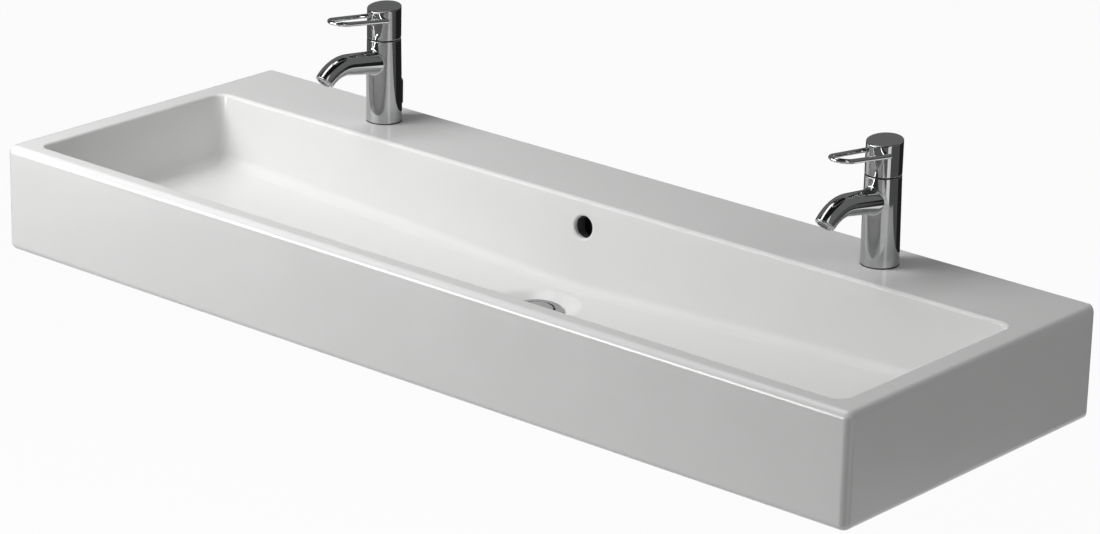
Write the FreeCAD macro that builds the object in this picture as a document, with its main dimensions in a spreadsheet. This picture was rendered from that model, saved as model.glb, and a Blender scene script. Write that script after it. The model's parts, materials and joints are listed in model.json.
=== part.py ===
# Washbasin with two single-lever taps: a wall-hung ceramic basin, its push-open waste and the tap mechanisms.
# The origin is the centre of the two wall-fixing holes on the back face: +X right, +Y to the wall, +Z up.
import FreeCAD, Part
import Sketcher
import math
import os
import re
from FreeCAD import Placement, Rotation, Vector

SIZES = {
    # Basin, outside
    "basin_width": 1200, "basin_depth": 425, "basin_height": 125, "rim_height": 60,
    "corner_radius": 9.5, "top_edge_radius": 6, "base_edge_radius": 4,
    # Basin, bowl
    "side_rim": 30, "front_rim": 24, "back_ledge": 111, "bowl_corner": 15, "bowl_depth": 80,
    "wall_angle": 8, "floor_fall": 23, "rim_round": 4, "foot_round": 14,
    "sump_radius": 46, "sump_depth": 7, "drain_front": 192,
    # Basin, underside and passages
    "apron_wall": 13, "deck_thickness": 16, "shell_wall": 13, "boss_radius": 48, "boss_thickness": 19,
    "waste_hole_radius": 23,
    "overflow_radius": 12.5, "overflow_drop": 31, "duct_width": 44, "duct_depth": 14, "duct_wall": 6,
    "channel_height": 7, "channel_floor": 6,
    "fixing_spacing": 560, "fixing_hole_radius": 7,
    # Waste
    "flange_radius": 31, "flange_lip": 2.5, "gasket_thickness": 1.5, "gasket_margin": 2,
    "waste_tube_radius": 20.9, "waste_bore_radius": 17.5, "thread_spare": 9.5, "seat_radius": 21.5,
    "seat_depth": 6, "slot_width": 16, "slot_height": 9, "hub_radius": 10, "hub_height": 10, "hub_lift": 16,
    "arm_thickness": 4, "latch_radius": 7, "latch_length": 26, "latch_floor": 2, "plug_lip": 2.6,
    "plug_crown": 1.2, "plug_neck_radius": 15, "plug_neck": 8, "plug_stem_radius": 4, "plug_stem": 36,
    "seal_height": 3, "seal_width": 2, "lower_gasket_radius": 32, "lower_gasket_height": 6,
    "waste_nut_flats": 54, "waste_nut_height": 10, "tail_collar_radius": 25, "tail_grip": 12,
    "tail_floor": 4, "tail_radius": 16, "tail_wall": 2, "tail_length": 18,
    # Tap column and spout
    "tap_spacing": 718, "tap_inset": 54, "tap_hole_radius": 17.5, "base_seal_height": 1.2,
    "column_base_radius": 21.2, "column_top_radius": 20, "column_height": 100, "column_lean": 1.2,
    "cartridge_bore": 15.5, "cartridge_depth": 30, "inlet_radius": 4.6, "inlet_thread": 15,
    "inlet_drill": 4.2, "inlet_passage": 3.2, "inlet_spacing": 15, "inlet_offset": 3,
    "spout_drop": 27, "spout_root_reach": 10, "spout_rise_angle": 8.2, "spout_dip_angle": 45,
    "spout_bend": 46, "spout_reach": 100, "spout_root_radius": 13.8, "spout_end_radius": 11.2, "spout_bore": 8,
    "aerator_radius": 9.4, "aerator_length": 9, "aerator_lip": 0.8, "aerator_wall": 1.6,
    "screen_thickness": 2, "screen_inset": 1.6, "screen_hole": 0.9, "screen_circle": 4.6,
    # Tap fixing under the deck
    "stud_radius": 4, "stud_front": 10, "stud_grip": 13, "stud_tail": 8, "washer_radius": 25,
    "washer_thickness": 3, "plate_thickness": 3, "slot_gap": 26, "slot_front": 3, "clamp_nut_flats": 13,
    "clamp_nut_height": 12,
    # Cartridge
    "cup_radius": 13.2, "cup_base": 4, "shoulder_height": 8, "ring_nut_height": 8, "dome_radius": 12.5,
    "dome_height": 6, "cup_bore": 10.8, "dome_roof": 3.8, "disc_thickness": 3, "port_spacing": 10,
    "carrier_plate": 3, "post_width": 5.4, "post_wall": 1.6, "rotor_gap": 1, "neck_height": 10,
    "rotor_slot": 6.2, "rotor_web": 4.2, "pin_radius": 1.5, "pin_length": 13, "spindle_width": 5.6,
    "spindle_depth": 7, "tip_radius": 2.4, "pivot_offset": 4, "pivot_lift": 6, "lever_arm": 12.5,
    "tilt_angle": 15,
    # Handle
    "cap_radius": 20, "cap_wall": 3, "cap_gap": 1.5, "cap_height": 36.5, "cap_angle": 6.5, "cap_roof": 4,
    "cap_edge": 1.2, "relief_start": 8, "relief_angle": 12.5,
    "socket_gap": 3.5, "socket_roof": 3.7, "socket_wall": 3.7,
    "loop_wire": 2.7, "loop_half_width": 15.5, "loop_tip_radius": 13, "loop_reach": 89, "loop_lift": 24,
    "loop_angle": 7.5, "grub_radius": 2.5, "grub_gap": 2.5, "grub_key": 1.5, "grub_key_depth": 3,
    "cover_radius": 3.9, "cover_depth": 2.3,
    # Lift rod
    "rod_radius": 2.2, "rod_offset": 14.5, "rod_tail": 48, "knob_radius": 9.5, "knob_offset": 19.5,
    "knob_low": 17.4, "knob_height": 30, "knob_crown": 4, "knob_taper": 3.2, "knob_bore_depth": 10,
    "lift_travel": 12, "groove_floor": 17, "groove_gap": 0.5,
    # Clearances
    "seat_clearance": 0.05, "run_clearance": 0.08, "slide_clearance": 0.3, "travel_room": 1,
}

doc = FreeCAD.newDocument("washbasin")
sheet = doc.addObject("Spreadsheet::Sheet", "sizes")
for row, (alias, value) in enumerate(SIZES.items(), start=1):
    sheet.set(f"A{row}", alias)
    sheet.set(f"B{row}", str(value))
    sheet.setAlias(f"B{row}", alias)
doc.recompute()

nodes = []


# Working with the sheet
def cells(formula):
    """Return a formula in size names as an expression on the sheet."""
    return re.sub(r"[a-z_]\w*", lambda m: f"sizes.{m.group()}" if m.group() in SIZES else m.group(), formula)


def bind(item, **formulas):
    """Tie properties of an object to the sheet."""
    for name, formula in formulas.items():
        item.setExpression(name, cells(formula))


def size(alias):
    """Return one size from the sheet as a number."""
    return float(sheet.get(alias))


def place(item, at):
    """Tie an object's position to the sheet."""
    for axis, formula in zip("xyz", at):
        item.setExpression(f"Placement.Base.{axis}", cells(formula))


def turn(item, axis, angle):
    """Tie an object's rotation about a world axis through its position to the sheet."""
    item.Placement = Placement(Vector(), Rotation(axis, 90))
    item.setExpression("Placement.Rotation.Angle", cells(angle))


def node(item, label, at=None):
    """Give a finished piece its name and its place on the part."""
    item.Label = label
    if at:
        place(item, at)
    nodes.append(item)
    return item


def moved(origin, x="0", y="0", z="0"):
    """Return a position relative to an origin, as formulas."""
    return tuple(f"({base}) + ({step})" for base, step in zip(origin, (x, y, z)))


# Primitives and booleans
HERE = ("0", "0", "0")


def cylinder(name, radius, height, at=HERE):
    """Make an upright cylinder that stands on its position."""
    item = doc.addObject("Part::Cylinder", name)
    bind(item, Radius=radius, Height=height)
    place(item, at)
    return item


def lying_cylinder(name, radius, height, at, axis, angle):
    """Make a cylinder that is turned about a world axis through its position."""
    item = cylinder(name, radius, height, at)
    turn(item, axis, angle)
    return item


def cone(name, low_radius, high_radius, height, at=HERE):
    """Make an upright cone that stands on its position."""
    item = doc.addObject("Part::Cone", name)
    bind(item, Radius1=low_radius, Radius2=high_radius, Height=height)
    place(item, at)
    return item


def box(name, length, width, height, at=HERE):
    """Make a box centred on its position in X and Y that stands on it in Z."""
    item = doc.addObject("Part::Box", name)
    bind(item, Length=length, Width=width, Height=height)
    x, y, z = at
    place(item, (f"({x}) - ({length})/2", f"({y}) - ({width})/2", z))
    return item


def prism(name, flats, height, at=HERE):
    """Make an upright hexagon of a given width across flats."""
    item = doc.addObject("Part::Prism", name)
    item.Polygon = 6
    bind(item, Circumradius=f"({flats})/2/cos(30)", Height=height)
    place(item, at)
    return item


def fuse(name, *pieces):
    """Join shapes into one."""
    item = doc.addObject("Part::MultiFuse", name)
    item.Shapes = list(pieces)
    item.Refine = True
    return item


def cut(name, base, *tools):
    """Cut shapes out of a base."""
    item = doc.addObject("Part::Cut", name)
    item.Base = base
    item.Tool = tools[0] if len(tools) == 1 else fuse(f"{name}_tools", *tools)
    return item


def coded(name, shape):
    """Make an object from a shape worked out in code."""
    item = doc.addObject("Part::Feature", name)
    item.Shape = shape
    return item


# Bodies and sketches
def new_body(name):
    return doc.addObject("PartDesign::Body", name)


def sketch_on(body, name, role, level):
    """Add a sketch to a body, parallel to one of its origin planes."""
    sketch = body.newObject("Sketcher::SketchObject", name)
    planes = [feature for feature in body.Origin.OriginFeatures if feature.Role == role]
    sketch.AttachmentSupport = [(planes[0], "")]
    sketch.MapMode = "FlatFace"
    sketch.setExpression("AttachmentOffset.Base.z", cells(level))
    return sketch


def constrain(sketch, name, formula, *constraint):
    """Add a named dimension that follows the sheet."""
    index = sketch.addConstraint(Sketcher.Constraint(*constraint))
    sketch.renameConstraint(index, name)
    sketch.setExpression(f"Constraints.{name}", cells(formula))


def add_circle(sketch, name, radius, x="0", y="0"):
    """Draw a circle with its radius and centre tied to the sheet."""
    circle = sketch.addGeometry(Part.Circle(Vector(), Vector(0, 0, 1), 10))
    constrain(sketch, f"{name}_radius", radius, "Radius", circle, 10)
    constrain(sketch, f"{name}_x", x, "DistanceX", -1, 1, circle, 3, 0)
    constrain(sketch, f"{name}_y", y, "DistanceY", -1, 1, circle, 3, 0)


def add_rectangle(sketch, left, right, front, back, radius):
    """Draw a rectangle with rounded corners: sides by their X, front and back by their Y."""
    west, east, south, north = -500, 500, -400, -100
    curve = 20
    corners = [
        (west + curve, south + curve, 180), (east - curve, south + curve, 270),
        (east - curve, north - curve, 0), (west + curve, north - curve, 90),
    ]
    ends = [
        ((west + curve, south), (east - curve, south)), ((east, south + curve), (east, north - curve)),
        ((east - curve, north), (west + curve, north)), ((west, north - curve), (west, south + curve)),
    ]
    lines = [sketch.addGeometry(Part.LineSegment(Vector(*a), Vector(*b))) for a, b in ends]
    arcs = []
    for x, y, start in corners:
        circle = Part.Circle(Vector(x, y), Vector(0, 0, 1), curve)
        arc = Part.ArcOfCircle(circle, math.radians(start), math.radians(start + 90))
        arcs.append(sketch.addGeometry(arc))
    for index, line in enumerate(lines):
        sketch.addConstraint(Sketcher.Constraint("Tangent", arcs[index], 2, line, 1))
        sketch.addConstraint(Sketcher.Constraint("Tangent", line, 2, arcs[(index + 1) % 4], 1))
        sketch.addConstraint(Sketcher.Constraint("Vertical" if index % 2 else "Horizontal", line))
    for arc in arcs[1:]:
        sketch.addConstraint(Sketcher.Constraint("Equal", arcs[0], arc))
    constrain(sketch, "corner", radius, "Radius", arcs[0], curve)
    constrain(sketch, "front", front, "DistanceY", -1, 1, lines[0], 1, south)
    constrain(sketch, "right", right, "DistanceX", -1, 1, lines[1], 1, east)
    constrain(sketch, "back", back, "DistanceY", -1, 1, lines[2], 1, north)
    constrain(sketch, "left", left, "DistanceX", -1, 1, lines[3], 1, west)


def extrude(body, kind, sketch, length, reverse=False):
    """Pad or pocket a sketch."""
    feature = body.newObject(f"PartDesign::{kind}", f"{sketch.Name}_{kind.lower()}")
    feature.Profile = sketch
    feature.Reversed = reverse
    bind(feature, Length=length)
    return feature


def loft(body, kind, first, second):
    """Add or cut a straight-sided loft between two sketches."""
    feature = body.newObject(f"PartDesign::{kind}Loft", f"{first.Name}_loft")
    feature.Profile = first
    feature.Sections = [second]
    feature.Ruled = True
    return feature


def fillet(body, name, radius, chosen):
    """Round the edges of the body so far that a test picks."""
    doc.recompute()
    base = body.Tip
    edges = [f"Edge{i}" for i, edge in enumerate(base.Shape.Edges, start=1) if chosen(edge)]
    feature = body.newObject("PartDesign::Fillet", name)
    feature.Base = (base, edges)
    bind(feature, Radius=radius)
    return feature


def is_level(edge, height):
    """Tell whether an edge lies in a horizontal plane at a height."""
    return abs(edge.BoundBox.ZMin - height) < 0.01 and abs(edge.BoundBox.ZMax - height) < 0.01


# Levels of the basin, as formulas from the wall-fixing line
BASE = "(rim_height - basin_height)"
FLOOR_LOW = "(rim_height - bowl_depth - floor_fall)"
SEAT = "(rim_height - bowl_depth - floor_fall - sump_depth)"
BOSS_BASE = f"({SEAT} - boss_thickness)"
SHELL_BASE = f"({FLOOR_LOW} - shell_wall)"
FOOT_INSET = "((bowl_depth + floor_fall)*tan(wall_angle))"
DRAIN = ("0", "-drain_front", "0")


def bowl_outline(sketch, depth, grow):
    """Draw the bowl's outline at a depth below the rim, grown outwards."""
    step = f"({grow}) - ({depth})*tan(wall_angle)"
    side = f"basin_width/2 - side_rim + {step}"
    add_rectangle(
        sketch, f"-({side})", side, f"-(basin_depth - front_rim + {step})", f"-(back_ledge - ({step}))",
        f"bowl_corner + ({grow})")


def add_valley(sketch, half_length):
    """Draw the floor's two slopes, seen from the front: high at the ends, low in the middle."""
    keel = f"({FLOOR_LOW} - shell_wall/2)"
    ends = "rim_height - bowl_depth"
    corners = [
        (f"-({half_length})", keel), (half_length, keel), (half_length, ends), ("0", FLOOR_LOW),
        (f"-({half_length})", ends),
    ]
    guesses = [Vector(-550, -50), Vector(550, -50), Vector(550, -20), Vector(0, -43), Vector(-550, -20)]
    count = len(corners)
    lines = [
        sketch.addGeometry(Part.LineSegment(guesses[index], guesses[(index + 1) % count]))
        for index in range(count)]
    for index, line in enumerate(lines):
        sketch.addConstraint(Sketcher.Constraint("Coincident", line, 2, lines[(index + 1) % count], 1))
    for index, (x, y) in enumerate(corners):
        guess = guesses[index]
        constrain(sketch, f"x_{index}", x, "DistanceX", -1, 1, lines[index], 1, guess.x)
        constrain(sketch, f"y_{index}", y, "DistanceY", -1, 1, lines[index], 1, guess.y)


def within_bowl(edge):
    """Tell whether an edge lies between the front rim and the back ledge."""
    front, back = size("front_rim") - size("basin_depth"), -size("back_ledge")
    slack = 1
    return front - slack < edge.BoundBox.YMin and edge.BoundBox.YMax < back + slack


def is_foot(edge):
    """Tell whether an edge is where the bowl's wall meets one of the floor's slopes."""
    low = size("rim_height") - size("bowl_depth") - size("floor_fall")
    inset = (size("bowl_depth") + size("floor_fall")) * math.tan(math.radians(size("wall_angle")))
    reach = size("basin_width") / 2 - size("side_rim") - inset + size("shell_wall") / 3
    ends = [vertex.Point for vertex in edge.Vertexes]
    slack = 0.01
    on_floor = all(abs(end.z - low - abs(end.x) / reach * size("floor_fall")) < slack for end in ends)
    along_valley = all(abs(end.x) < slack for end in ends)
    return on_floor and within_bowl(edge) and not along_valley


def make_basin():
    """Make the ceramic: block, hollow underside, bowl shell, overflow duct, waste boss and holes."""
    body = new_body("basin_body")
    outline = sketch_on(body, "outline", "XY_Plane", BASE)
    add_rectangle(outline, "-basin_width/2", "basin_width/2", "-basin_depth", "0", "corner_radius")
    extrude(body, "Pad", outline, "basin_height")
    rim, base = size("rim_height"), size("rim_height") - size("basin_height")

    def off_wall(edge):
        return edge.BoundBox.YMin < -1

    fillet(body, "top_edges", "top_edge_radius", lambda edge: is_level(edge, rim) and off_wall(edge))
    fillet(body, "base_edges", "base_edge_radius", lambda edge: is_level(edge, base) and off_wall(edge))

    hollow = sketch_on(body, "hollow", "XY_Plane", BASE)
    inner = "basin_width/2 - apron_wall"
    add_rectangle(hollow, f"-({inner})", inner, "-(basin_depth - apron_wall)", "-apron_wall", "corner_radius")
    extrude(body, "Pocket", hollow, "basin_height - deck_thickness", reverse=True)

    shell_top = sketch_on(body, "shell_top", "XY_Plane", "rim_height - deck_thickness/2")
    bowl_outline(shell_top, "deck_thickness/2", "shell_wall")
    shell_low = sketch_on(body, "shell_low", "XY_Plane", SHELL_BASE)
    bowl_outline(shell_low, f"rim_height - {SHELL_BASE}", "shell_wall")
    loft(body, "Additive", shell_top, shell_low)

    boss = sketch_on(body, "boss", "XY_Plane", BOSS_BASE)
    add_circle(boss, "boss", "boss_radius", y="-drain_front")
    extrude(body, "Pad", boss, f"{FLOOR_LOW} - {BOSS_BASE}")
    half_duct = "duct_width/2 + duct_wall"
    duct_back = "back_ledge - shell_wall - duct_depth - duct_wall"
    under = sketch_on(body, "under_duct", "XY_Plane", BOSS_BASE)
    add_rectangle(under, f"-({half_duct})", half_duct, "-drain_front", f"-({duct_back})", "duct_wall")
    extrude(body, "Pad", under, f"{FLOOR_LOW} - {BOSS_BASE}")
    riser = sketch_on(body, "riser_duct", "XY_Plane", BOSS_BASE)
    add_rectangle(
        riser, f"-({half_duct})", half_duct, "-(back_ledge + bowl_corner)", f"-({duct_back})", "duct_wall")
    extrude(body, "Pad", riser, f"rim_height - deck_thickness/2 - {BOSS_BASE}")

    mouth = sketch_on(body, "mouth", "XY_Plane", "rim_height")
    bowl_outline(mouth, "0", "0")
    foot = sketch_on(body, "foot", "XY_Plane", FLOOR_LOW)
    bowl_outline(foot, "bowl_depth + floor_fall", "0")
    loft(body, "Subtractive", mouth, foot)
    bond = "shell_wall/3"
    slopes = sketch_on(body, "slopes", "XZ_Plane", f"back_ledge + {FOOT_INSET} - {bond}")
    add_valley(slopes, f"basin_width/2 - side_rim - {FOOT_INSET} + {bond}")
    extrude(body, "Pad", slopes, f"basin_depth - front_rim - back_ledge - 2*{FOOT_INSET} + 2*{bond}")
    fillet(body, "foot_edges", "foot_round", is_foot)
    sump_foot = "flange_radius + gasket_margin"
    sump_top = sketch_on(body, "sump_top", "XY_Plane", f"{FLOOR_LOW} + sump_depth")
    add_circle(sump_top, "sump", f"2*sump_radius - ({sump_foot})", y="-drain_front")
    sump_low = sketch_on(body, "sump_low", "XY_Plane", SEAT)
    add_circle(sump_low, "sump", sump_foot, y="-drain_front")
    loft(body, "Subtractive", sump_top, sump_low)

    waste_hole = sketch_on(body, "waste_hole", "XY_Plane", SEAT)
    add_circle(waste_hole, "hole", "waste_hole_radius", y="-drain_front")
    extrude(body, "Pocket", waste_hole, f"{SEAT} - {BOSS_BASE}")
    half_channel = "duct_width/2"
    channel = sketch_on(body, "channel", "XY_Plane", f"{BOSS_BASE} + channel_floor + channel_height")
    channel_back = "back_ledge - shell_wall - duct_depth"
    add_rectangle(
        channel, f"-({half_channel})", half_channel, "-(drain_front)", f"-({channel_back})", "duct_wall/2")
    extrude(body, "Pocket", channel, "channel_height")
    chimney = sketch_on(body, "chimney", "XY_Plane", "rim_height - deck_thickness")
    add_rectangle(
        chimney, f"-({half_channel})", half_channel, "-(back_ledge - shell_wall)", f"-({channel_back})",
        "duct_wall/2")
    extrude(body, "Pocket", chimney, f"rim_height - deck_thickness - channel_floor - {BOSS_BASE}")
    overflow = sketch_on(body, "overflow", "XZ_Plane", "back_ledge + bowl_corner")
    add_circle(overflow, "hole", "overflow_radius", y="rim_height - overflow_drop")
    extrude(body, "Pocket", overflow, "bowl_corner + shell_wall + duct_depth/2")

    taps = sketch_on(body, "tap_holes", "XY_Plane", "rim_height")
    for name, x in (("left", "-tap_spacing/2"), ("right", "tap_spacing/2")):
        add_circle(taps, name, "tap_hole_radius", x, "-tap_inset")
    extrude(body, "Pocket", taps, "deck_thickness")
    wall = sketch_on(body, "wall_holes", "XZ_Plane", "0")
    for name, x in (("left", "-fixing_spacing/2"), ("right", "fixing_spacing/2")):
        add_circle(wall, name, "fixing_hole_radius", x, "0")
    extrude(body, "Pocket", wall, "apron_wall", reverse=True)

    def is_mouth(edge):
        return is_level(edge, rim) and within_bowl(edge)

    fillet(body, "mouth_edges", "rim_round", is_mouth)
    node(body, "basin")


def make_waste():
    """Make the waste: flange and tube, its gaskets and nut, the tailpiece, and the push-open plug."""
    x, y, _ = DRAIN

    def at(level):
        return (x, y, level)

    lip = f"({SEAT} + gasket_thickness)"
    top = f"({lip} + flange_lip)"
    thread = "(gasket_thickness + boss_thickness + lower_gasket_height + waste_nut_height)"
    length = f"({thread} + thread_spare + tail_grip)"
    end = f"({lip} - {length})"
    bore = cylinder("flange_gasket_bore", "waste_tube_radius + seat_clearance", "gasket_thickness", at(SEAT))
    disc = cylinder("flange_gasket_disc", "flange_radius - gasket_margin", "gasket_thickness", at(SEAT))
    node(cut("flange_gasket_ring", disc, bore), "flange_gasket")

    tube = cut(
        "waste_tube_wall",
        fuse(
            "waste_outside", cylinder("waste_stem", "waste_tube_radius", length, at(end)),
            cone("waste_lip", "flange_radius", "flange_radius - flange_lip", "flange_lip", at(lip))),
        cylinder("waste_bore", "waste_bore_radius", f"{length} + flange_lip", at(end)),
        cone("plug_seat", "waste_bore_radius", "seat_radius", "seat_depth", at(f"{top} - seat_depth")),
        box("overflow_slot", "slot_width", "3*waste_tube_radius", "slot_height",
            at(f"{BOSS_BASE} + channel_floor + channel_height - slot_height")))
    hub_low = f"({end} + hub_lift)"
    hub = cylinder("hub", "hub_radius", "hub_height", at(hub_low))
    reach = "(waste_bore_radius + waste_tube_radius)/2"
    arms = []
    for index in range(3):
        arm = doc.addObject("Part::Box", f"hub_arm_{index}")
        bind(arm, Length=reach, Width="arm_thickness", Height="hub_height")
        heading = 120 * index + 30
        turn(arm, Vector(0, 0, 1), f"{heading}")
        place(arm, (
            f"arm_thickness/2*sin({heading})", f"-drain_front - arm_thickness/2*cos({heading})", hub_low))
        arms.append(arm)
    flange = cut(
        "waste_flange_cut", fuse("waste_flange_whole", tube, hub, *arms),
        cylinder("latch_hole", "latch_radius + seat_clearance", "hub_height", at(hub_low)))
    node(flange, "waste_flange")

    latch_low = f"({hub_low} + hub_height - latch_length)"
    latch = cut(
        "latch", cylinder("latch_case", "latch_radius", "latch_length", at(latch_low)),
        cylinder("latch_bore", "plug_stem_radius + run_clearance", "latch_length",
                 at(f"{latch_low} + latch_floor")))
    node(latch, "plug_latch")

    under = f"({top} + slide_clearance - plug_lip)"
    neck_low = f"({under} - plug_neck)"
    seat_slope = "(seat_radius - waste_bore_radius)/seat_depth"
    plug_radius = f"(seat_radius - plug_lip*{seat_slope} - slide_clearance)"
    plug = fuse(
        "plug", cylinder("plug_disc", plug_radius, "plug_lip", at(under)),
        cone("plug_crown_cone", plug_radius, f"{plug_radius} - 2*plug_crown", "plug_crown",
             at(f"{under} + plug_lip")),
        cylinder("plug_neck_disc", "plug_neck_radius - seal_width", "plug_neck", at(neck_low)),
        cylinder("plug_foot", "plug_neck_radius", "plug_neck - seal_height - seat_clearance", at(neck_low)),
        cylinder("plug_stem_rod", "plug_stem_radius", "plug_stem", at(f"{neck_low} - plug_stem")))
    node(plug, "waste_plug")
    seal_low = f"{under} - seal_height"
    seal = cut(
        "seal", cylinder("seal_disc", "plug_neck_radius + seal_width", "seal_height", at(seal_low)),
        cylinder("seal_bore", "plug_neck_radius - seal_width + seat_clearance", "seal_height", at(seal_low)))
    node(seal, "plug_seal")

    def ring(name, label, outer, height, low):
        hole = cylinder(f"{name}_hole", "waste_tube_radius + seat_clearance", height, at(low))
        node(cut(name, outer, hole), label)

    gasket_low = f"{BOSS_BASE} - lower_gasket_height"
    gasket = cone("lower_gasket_cone", "lower_gasket_radius - lower_gasket_height/2", "lower_gasket_radius",
                  "lower_gasket_height", at(gasket_low))
    ring("lower_gasket_ring", "lower_gasket", gasket, "lower_gasket_height", gasket_low)
    nut_low = f"{gasket_low} - waste_nut_height"
    hexagon = prism("waste_nut_hexagon", "waste_nut_flats", "waste_nut_height", at(nut_low))
    ring("waste_nut_ring", "waste_nut", hexagon, "waste_nut_height", nut_low)

    tail = cut(
        "tail", fuse(
            "tail_outside",
            cylinder("tail_collar", "tail_collar_radius", "tail_grip + tail_floor",
                     at(f"{end} - tail_floor")),
            cylinder("tail_pipe", "tail_radius", "tail_length", at(f"{end} - tail_floor - tail_length"))),
        cylinder("tail_socket", "waste_tube_radius + seat_clearance", "tail_grip", at(end)),
        cylinder("tail_bore", "tail_radius - tail_wall", "tail_length + tail_floor",
                 at(f"{end} - tail_floor - tail_length")))
    node(tail, "waste_tail")


# Tap pieces are drawn about the tap's own axis, from the deck upwards, then set on the deck.
# Levels of a tap, as formulas from the deck
SPOUT_ROOT = "(column_height - spout_drop)"
CARTRIDGE_FLOOR = "(column_height - cartridge_depth)"
SHOULDER_TOP = "(column_height - ring_nut_height)"
SHOULDER_LOW = f"({SHOULDER_TOP} - shoulder_height)"
DOME_TOP = "(column_height + dome_height)"
NECK_TOP = f"({DOME_TOP} + neck_height)"
PIVOT_HEIGHT = f"({DOME_TOP} + pivot_lift)"
CAP_LOW = "(column_height + cap_gap)"
CAP_TOP = f"({CAP_LOW} + cap_height)"
CAP_UNDER = f"({CAP_TOP} - cap_radius*tan(cap_angle) - cap_roof)"
SOCKET_LOW = f"({NECK_TOP} + socket_gap)"
SPINDLE_TOP = f"({CAP_UNDER} - socket_roof)"
GRUB_HEIGHT = f"(({SOCKET_LOW} + {SPINDLE_TOP})/2)"

# The spout's centre line: its bend starts where the straight rise ends.
BEND_REACH = "(spout_reach - spout_bend*(sin(spout_rise_angle) + sin(spout_dip_angle)))"
BEND_HEIGHT = f"({SPOUT_ROOT} + ({BEND_REACH} - spout_root_reach)*tan(spout_rise_angle))"
OUTLET_HEIGHT = f"({BEND_HEIGHT} - spout_bend*(cos(spout_rise_angle) - cos(spout_dip_angle)))"
OUTLET = ("0", "-spout_reach", OUTLET_HEIGHT)


def spout_path():
    """Return the spout's centre line: a straight rise, then an arc down to the outlet."""
    rise, dip = math.radians(size("spout_rise_angle")), math.radians(size("spout_dip_angle"))
    bend, root = size("spout_bend"), size("spout_root_reach")
    root_height = size("column_height") - size("spout_drop")
    bend_reach = size("spout_reach") - bend * (math.sin(rise) + math.sin(dip))
    bend_height = root_height + (bend_reach - root) * math.tan(rise)

    def on_arc(heading):
        reach = bend_reach + bend * (math.sin(rise) - math.sin(heading))
        height = bend_height - bend * (math.cos(rise) - math.cos(heading))
        return Vector(0, -reach, height)

    start = Vector(0, -root, root_height)
    straight = Part.LineSegment(start, on_arc(rise)).toShape()
    curve = Part.Arc(on_arc(rise), on_arc((rise - dip) / 2), on_arc(-dip)).toShape()
    return Part.Wire([straight, curve])


def swept_tube(path, start_radius, end_radius):
    """Return a round bar along a path whose radius changes from one end to the other."""
    first, last = path.OrderedEdges[0], path.OrderedEdges[-1]
    start, end = first.valueAt(first.FirstParameter), last.valueAt(last.LastParameter)
    sections = []
    for point, heading, radius in (
            (start, first.tangentAt(first.FirstParameter), start_radius),
            (end, last.tangentAt(last.LastParameter), end_radius)):
        sections.append(Part.Wire(Part.makeCircle(radius, point, heading)))
    return path.makePipeShell(sections, True, False)


def make_tap_body(side, origin):
    """Make the brass column and spout, with the cartridge bore, water ways, rod hole and rear groove."""
    name = f"{side}_column"
    body = new_body(name)
    low = sketch_on(body, f"{name}_low", "XY_Plane", "base_seal_height")
    add_circle(low, "base", "column_base_radius", y="column_lean")
    high = sketch_on(body, f"{name}_high", "XY_Plane", "column_height")
    add_circle(high, "top", "column_top_radius")
    loft(body, "Additive", low, high)
    path = spout_path()
    spout = coded(f"{side}_spout", swept_tube(path, size("spout_root_radius"), size("spout_end_radius")))
    bore = coded(f"{side}_spout_bore", swept_tube(path, size("spout_bore"), size("spout_bore")))
    tools = [
        bore,
        lying_cylinder(
            f"{side}_aerator_socket", "aerator_radius + seat_clearance", "aerator_length",
            OUTLET, Vector(1, 0, 0), "spout_dip_angle - 90"),
        cylinder(f"{side}_cartridge_hole", "cartridge_bore", "column_height", ("0", "0", CARTRIDGE_FLOOR)),
        cylinder(f"{side}_stud_hole", "stud_radius + seat_clearance", "stud_grip",
                 ("0", "-stud_front", "base_seal_height")),
        cylinder(f"{side}_rod_hole", "rod_radius + run_clearance", "groove_floor",
                 ("0", "rod_offset", "base_seal_height")),
        cylinder(f"{side}_knob_groove", "knob_radius + groove_gap",
                 "knob_low + knob_height + lift_travel + travel_room - groove_floor",
                 ("0", "knob_offset", "groove_floor")),
    ]
    for index, x in enumerate(("-inlet_spacing/2", "inlet_spacing/2")):
        tools.append(cylinder(f"{side}_inlet_{index}", "inlet_radius", "inlet_thread",
                              (x, "inlet_offset", "base_seal_height")))
        tools.append(cylinder(f"{side}_passage_{index}", "inlet_drill", CARTRIDGE_FLOOR,
                              (x, "inlet_offset", "base_seal_height")))
    node(cut(f"{side}_tap_cut", fuse(f"{side}_tap_whole", body, spout), *tools), f"{side}_tap_body", origin)


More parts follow.
